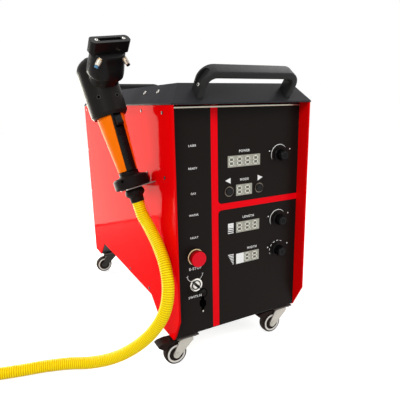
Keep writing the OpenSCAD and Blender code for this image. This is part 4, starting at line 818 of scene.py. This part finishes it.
# The spare key takes the near-black of painted shade on its ring. A steel arc over the ring's right part is
# a painted highlight, beside a small steel block
dress("spare_key", PAINTED_SHADE_BLACK, 0.25)
spare = Shape()
LOOP_R, WIRE_R, LOOP_STEPS, WIRE_SIDES = 10, 0.65, 32, 10
verts = []
for i in range(LOOP_STEPS + 1):
    a = math.radians(-55 + 165 * i / LOOP_STEPS)
    for r, z in arc(WIRE_R, [36 * k for k in range(WIRE_SIDES)], LOOP_R):
        verts.append((r * math.cos(a), r * math.sin(a), z))
spare.add(verts, tube_faces(LOOP_STEPS + 1, WIRE_SIDES), 0,
          move(COLUMN_X, -1.6, 172.9) @ rot("X", 90))
spare.block(-108.0, -105.0, -2.7, -0.5, 132.6, 136.2)
spare.build("spare_key_steel_and_highlight", [ZINC], BODY_OF["spare_key"], (), "bright_steel")
keep("potentiometers", ALU)

# Castors: tyre, pale rim and spoked hub inside the fork, with its cover plates and axle nuts
CASTORS = {"front_left": (-127, 50), "front_right": (127, 50), "rear_left": (-127, 626),
           "rear_right": (127, 626)}
FORK_METAL = {k: ZINC if "front" in k else DARK_ZINC for k in CASTORS}
TRAIL, AXLE_Z, FORK_OUT = 23, 25, 12.9
SEAT_R, SHOULDER_R, CROWN, HALF_TREAD, BORE_R = 20.4, 21.6, 3.4, 9.6, 4.05
# Rings on each side of a wheel: radii, distances from its middle, segments and material
SIDE_RINGS = ((16.4, 20.6, 8.2, 9.7, 72, 1), (8.6, 16.5, 6.0, 7.4, 64, 2),
              (BORE_R, 8.7, 5.0, 10.0, 48, 2))
SPOKES = 5
PEDAL_EDGE, PEDAL_TOP, GRIPS, GRIP_STEP = -36, 61.0, 6, 4.2


def between(a, b):
    return min(a, b), max(a, b)


def wheel(k, at):
    w = Shape()
    tyre = []
    for i in range(13):
        a = math.radians(-90 + 15 * i)
        bulge = CROWN * math.cos(a) ** 0.6 if 0 < i < 12 else 0
        tyre.append((SHOULDER_R + bulge, HALF_TREAD * math.sin(a)))
    w.lathe([(SEAT_R, -9.0)] + tyre + [(SEAT_R, 9.0)], at, 72)
    for s in (-1, 1):
        for inner, outer, z0, z1, seg, kind in SIDE_RINGS:
            w.ring(inner, outer, s * z0, s * z1, at, seg, kind)
        for i in range(SPOKES):
            w.block(8.4, 16.4, -1.1, 1.1, *between(s * 7.0, s * 8.0), 2,
                    at @ rot("Z", 360 / SPOKES * i))
    w.ring(BORE_R, 20.6, -8.3, 8.3, at, 64, 2)
    w.build(f"wheel_{k}_skin", [TYRE, RIM, HUB], "wheel_" + k, ("wheel_" + k,), "tyre_rubber",
            0.5, 40)


def fork_parts(k, cx, cy, at):
    nuts, cover = Shape(), Shape()
    outline = arc(8.4, range(160, 330, 12), cx - TRAIL, AXLE_Z)
    outline += [(cx + dx, z) for dx, z in ((13.5, 47.5), (16.0, 50.0), (16.0, 56.5),
                                           (-14.0, 56.5), (-17.5, 52.0))]
    for s in (-1, 1):
        out = at @ move(0, 0, s * 13)
        nuts.lathe([(5.4, 0), (5.4, s * 0.9), (4.6, s * 1.3), (0, s * 1.3)], out, 32)
        nuts.prism(arc(3.6, HEXAGON), *between(s * 0.8, s * 2.6), out)
        cover.prism(outline, *between(0.0, s * 0.9), move(0, cy - s * FORK_OUT, 0) @ rot("X", 90))
    cover.build("fork_cover_" + k, [FORK_METAL[k]], "fork_" + k, (), "zinc", 0.4)
    nuts.build("axle_nuts_" + k, [FORK_METAL[k]], "fork_" + k, (), "zinc", 0.3)


for k, metal in FORK_METAL.items():
    dress("fork_" + k, metal, 0.7)
dress("castor_plates", DULL_ZINC, 0.3)
dress("pedal_left", PEDAL, 1.4, 3)
dress("pedal_right", PEDAL, 1.4, 3)
for k, (cx, cy) in CASTORS.items():
    axle = move(cx - TRAIL, cy, AXLE_Z) @ rot("X", 90)
    wheel(k, axle)
    fork_parts(k, cx, cy, axle)
for hand in ("left", "right"):
    cx, cy = CASTORS["front_" + hand]
    tread = Shape()
    for i in range(GRIPS):
        x = cx + PEDAL_EDGE - i * GRIP_STEP
        z = PEDAL_TOP - i * 0.75 + (0 if i < 3 else -(i - 2) * 0.3)
        tread.block(x - 1.2, x + 1.2, cy - 10.5, cy + 10.5, z - 2.2, z + 0.2)
    tread.build("pedal_grip_" + hand, [PEDAL], "pedal_" + hand, (), "pedal_plastic", 0.4)

# Gun. A station of the barrel has its place, half width, half height, corner radius and lift
STATIONS = [(18, 30, 28, 28, -1), (38.6, 30, 28, 28, -1), (39.4, 34.6, 30.6, 30, -3),
            (40.2, 35.6, 31.6, 31.4, -3), (41.6, 36, 32, 31.8, -3), (47, 36, 32, 31.8, -3),
            (54, 35.5, 30.4, 29.8, -2.6), (62, 35, 27.6, 27, -1.8), (70, 34.5, 24.8, 24.4, -0.8),
            (78, 34.1, 22.6, 22.2, -0.2), (84.6, 34, 22, 21.8, 0), (86, 32.6, 20.8, 20.6, 0)]
PER_CORNER = 16
dress("gun_body", GUN_BLACK, 0.6, 3)
barrel = Shape()
verts = [(x, y, t) for t, hx, hy, r, lift in STATIONS
         for x, y in corners(hx, hy, r, PER_CORNER, lift)]
barrel.add(verts, tube_faces(len(STATIONS), 4 * PER_CORNER), 0, BARREL)
barrel.build("gun_barrel_skin", [HEAD_BLACK], "gun", ("gun_barrel",), SLOT_OF["gun_barrel"],
             0.0, 50)
dress("gun_nozzle", HEAD_BLACK, 1.4, 3, 40)
dress("gun_grip", ORANGE, 0.8, 3, 40)
dress("gun_spine", BLACK, 0.8, 3, 35)
dress("gun_trigger", BLACK, 0.9, 3, 25)
slot_floor = Shape()
slot_floor.block(-8.2, 5.2, -25.2, -16, 104.8, 122.0, 0, GUN)
slot_floor.build("trigger_slot_floor", [BLACK], "gun", (), "black_plastic", 0.4)
dress("gun_disc", RUBBER, 0.8, 3, 25)
dress("gun_tail", RUBBER, 0.8, 3, 25)

# Air fittings of nickel, one with a blue collet and one with a black collet
FITTING_UP, FITTING_SPLAY, FITTING_TILT = 85.8, 31, 140
SOCKET = [(4.0, 3.0), (4.0, 5.6), (4.9, 6.2), (4.9, 15.8), (4.4, 16.5), (3.6, 16.5)]
COLLET = [(3.5, 16.2), (3.5, 19.6), (3.95, 19.9), (3.95, 21.6), (2.2, 21.8), (2.2, 18)]
fit = Shape()
for s, x, y, kind in ((-1, 23, -16.8, 1), (1, 20.5, -19, 2)):
    at = BARREL @ move(s * x, y, FITTING_UP)
    at = at @ rot("Z", -s * FITTING_SPLAY) @ rot("Y", s * FITTING_TILT)
    fit.lathe(SOCKET, at, 32)
    fit.ring(3.9, 4.4, 4.0, 5.2, at, 32, 3)
    fit.lathe(COLLET, at, 32, kind)
fit.build("air_fittings_skin", [NICKEL, BLUE, BLACK, BRASS], "gun", ("air_fittings",), "zinc",
          0.2)

# The nozzle's window, dark behind the slot, with a screw at each end
mouth = Shape()
tip = BARREL @ move(0, 0, 110)
mouth.block(-22.7, 22.7, -3.7, 3.7, -4.9, -4.2, 0, tip)
for s in (-1, 1):
    cap_screw(mouth, tip @ move(s * 27.8, 0, -1.1), NOZZLE_SCREW, 1, 2)
mouth.build("nozzle_window", [GLASS, STEEL, BLACK], "gun", (), "gun_black", 0.1)

# Screw pits: four in the body's side, three in its dome, three in its foot. Each is a flat near-black disc
# on the surface, painted shade for the hole, and those in the side and dome have a lighter ring for the
# chamfer, a painted highlight
SIDE_PITS = ((-133, 185.1), (-75, 181.5), (35, 183), (118, 183))
SIDE_PIT_R, FOOT_PIT_R, FOOT_PIT_Z = 36.2, 35.2, 17.5
DOME_Z, DOME_R, DOME_FLAT, PIT_LATITUDE = 243, 37, 0.75, 54
pits = Shape()


def pit(at, r, h, seg):
    pits.lathe([(r, 0), (r, h), (0, h)], at, seg)


def rimmed_pit(at):
    pit(at, 3.1, 0.9, 24)
    pits.ring(3.0, 3.8, 0.5, 0.98, at, 28, 1)


for turn, z in SIDE_PITS:
    rimmed_pit(GUN @ rot("Z", turn) @ move(SIDE_PIT_R, 0, z) @ rot("Y", 90))
latitude = math.radians(PIT_LATITUDE)
slant = math.degrees(math.atan2(math.sin(latitude), DOME_FLAT * math.cos(latitude)))
for turn in (-150, -30, 90):
    place = move(DOME_R * math.cos(latitude), 0, DOME_R * DOME_FLAT * math.sin(latitude))
    rimmed_pit(GUN @ move(0, 0, DOME_Z) @ rot("Z", turn) @ place @ rot("Y", 90 - slant)
               @ move(0, 0, -0.75))
for turn in (-146, -26, 94):
    pit(GUN @ rot("Z", turn) @ move(FOOT_PIT_R, 0, FOOT_PIT_Z) @ rot("Y", 90), 2.9, 0.85, 20)
pits.build("gun_screw_holes", [PAINTED_SHADE_BLACK, RIM_HIGHLIGHT_AND_POINTER], "gun", (), "gun_black", 0.1)

# Ribs on the spine, whose depth grows from its foot at 35 mm over 113.5 mm
RIBS, RIB_FOOT, RIB_STEP, SPINE_FOOT, SPINE_LENGTH = 14, 42, 4.4, 35, 113.5
ribs = Shape()
for i in range(RIBS):
    z = RIB_FOOT + i * RIB_STEP
    depth = -(19.5 + (z - SPINE_FOOT) / SPINE_LENGTH * 7.5 + 1.5) * 1.08
    ribs.block(-7.0, 4.0, depth - 0.3, depth + 1.2, z, z + 1.9, 0, GUN)
ribs.build("spine_ribs", [BLACK], "gun", (), "black_plastic", 0.3)

# Rear and inside
for node, mat, bevel in (("fan_frame", BLACK, 0.5), ("fan_rotor", BLACK, 0.3),
                         ("fan_grille", STEEL, 0.3), ("power_inlet", BLACK, 0.5),
                         ("power_rocker", ROCKER, 0.5), ("gas_inlet", BRASS, 0.4)):
    dress(node, mat, bevel)
INLET_X, INLET_Z, PIN_LIFT = 90, 120, 4
pins = Shape()
for dx, dz in ((-7, 9), (7, 9), (0, 14)):
    x, z = INLET_X + dx, INLET_Z + dz + PIN_LIFT
    pins.block(x - 1, x + 1, 652, 662, z - 2.5, z + 2.5)
pins.build("inlet_pins", [BRASS], "cabinet", (), "brass", 0.3)
keep("laser_source", ALU)
keep("power_supply", ALU)

# Floor, world and lamps, in metres and watts
FLOOR_DROP, FLOOR_GREY, FLOOR_GLOW = 0.0004, 0.62, 0.72
WORLD_LIT, WORLD_SEEN = 0.5, 1.0
LOW_MIDDLE = (0, 0, 0.3)
NEUTRAL, WARM = (1, 1, 1), (1, 0.97, 0.84)
LAMPS = (("key", (-1.9, -2.3, 2.3), LOW_MIDDLE, (1.1, 1.3), 52, NEUTRAL),
         ("fill", (1.9, -1.9, 1.5), LOW_MIDDLE, (1.2, 1.2), 13, NEUTRAL),
         ("top", (0.0, 0.6, 3.0), LOW_MIDDLE, (1.8, 1.8), 18, NEUTRAL),
         ("roof_right", (1.75, 0.35, 2.25), (0.1, -0.3, 0.55), (0.9, 0.9), 14, NEUTRAL),
         ("side", (-0.5945, 0.812, 0.32), (-0.5945, -1.0, 0.32), (0.89, 0.62), 17, WARM))


def seen_ray(tree):
    """1 for a ray that shows the background: from the camera, a mirror or through glass."""
    path = tree.nodes.new("ShaderNodeLightPath")
    last = path.outputs["Is Camera Ray"]
    for other in ("Is Glossy Ray", "Is Transmission Ray"):
        both = tree.nodes.new("ShaderNodeMath")
        both.operation = "MAXIMUM"
        tree.links.new(last, both.inputs[0])
        tree.links.new(path.outputs[other], both.inputs[1])
        last = both.outputs[0]
    return last


floor_me = bpy.data.meshes.new("floor")
floor_me.from_pydata([(-6, -6, 0), (6, -6, 0), (6, 8, 0), (-6, 8, 0)], [], [(0, 1, 2, 3)])
floor = link(bpy.data.objects.new("floor", floor_me))
floor.location.z = -FLOOR_DROP
floor_mat, nt, bsdf = new_material("pale_floor")
bsdf.inputs["Base Color"].default_value = (FLOOR_GREY, FLOOR_GREY, FLOOR_GREY, 1)
bsdf.inputs["Roughness"].default_value = 0.9
bsdf.inputs["Specular IOR Level"].default_value = 0.1
bsdf.inputs["Emission Color"].default_value = (1, 1, 1, 1)
glow = nt.nodes.new("ShaderNodeMath")
glow.operation = "MULTIPLY"
glow.inputs[1].default_value = FLOOR_GLOW
nt.links.new(seen_ray(nt), glow.inputs[0])
nt.links.new(glow.outputs[0], bsdf.inputs["Emission Strength"])
floor_me.materials.append(floor_mat)

scene = bpy.context.scene
world = bpy.data.worlds.new("world")
scene.world = world
world.use_nodes = True
wt = world.node_tree
background = wt.nodes["Background"]
strength = wt.nodes.new("ShaderNodeMapRange")
strength.inputs["To Min"].default_value = WORLD_LIT
strength.inputs["To Max"].default_value = WORLD_SEEN
wt.links.new(seen_ray(wt), strength.inputs["Value"])
wt.links.new(strength.outputs["Result"], background.inputs["Strength"])
background.inputs["Color"].default_value = (1, 1, 1, 1)
for name, place, target, size, power, colour in LAMPS:
    lamp = bpy.data.lights.new(name, "AREA")
    lamp.shape = "RECTANGLE"
    lamp.size, lamp.size_y = size
    lamp.energy = power
    lamp.color = colour
    ob = link(bpy.data.objects.new(name, lamp))
    ob.location = place
    ob.rotation_euler = (Vector(target) - Vector(place)).to_track_quat("-Z", "Y").to_euler()

scene.view_settings.view_transform = "Standard"
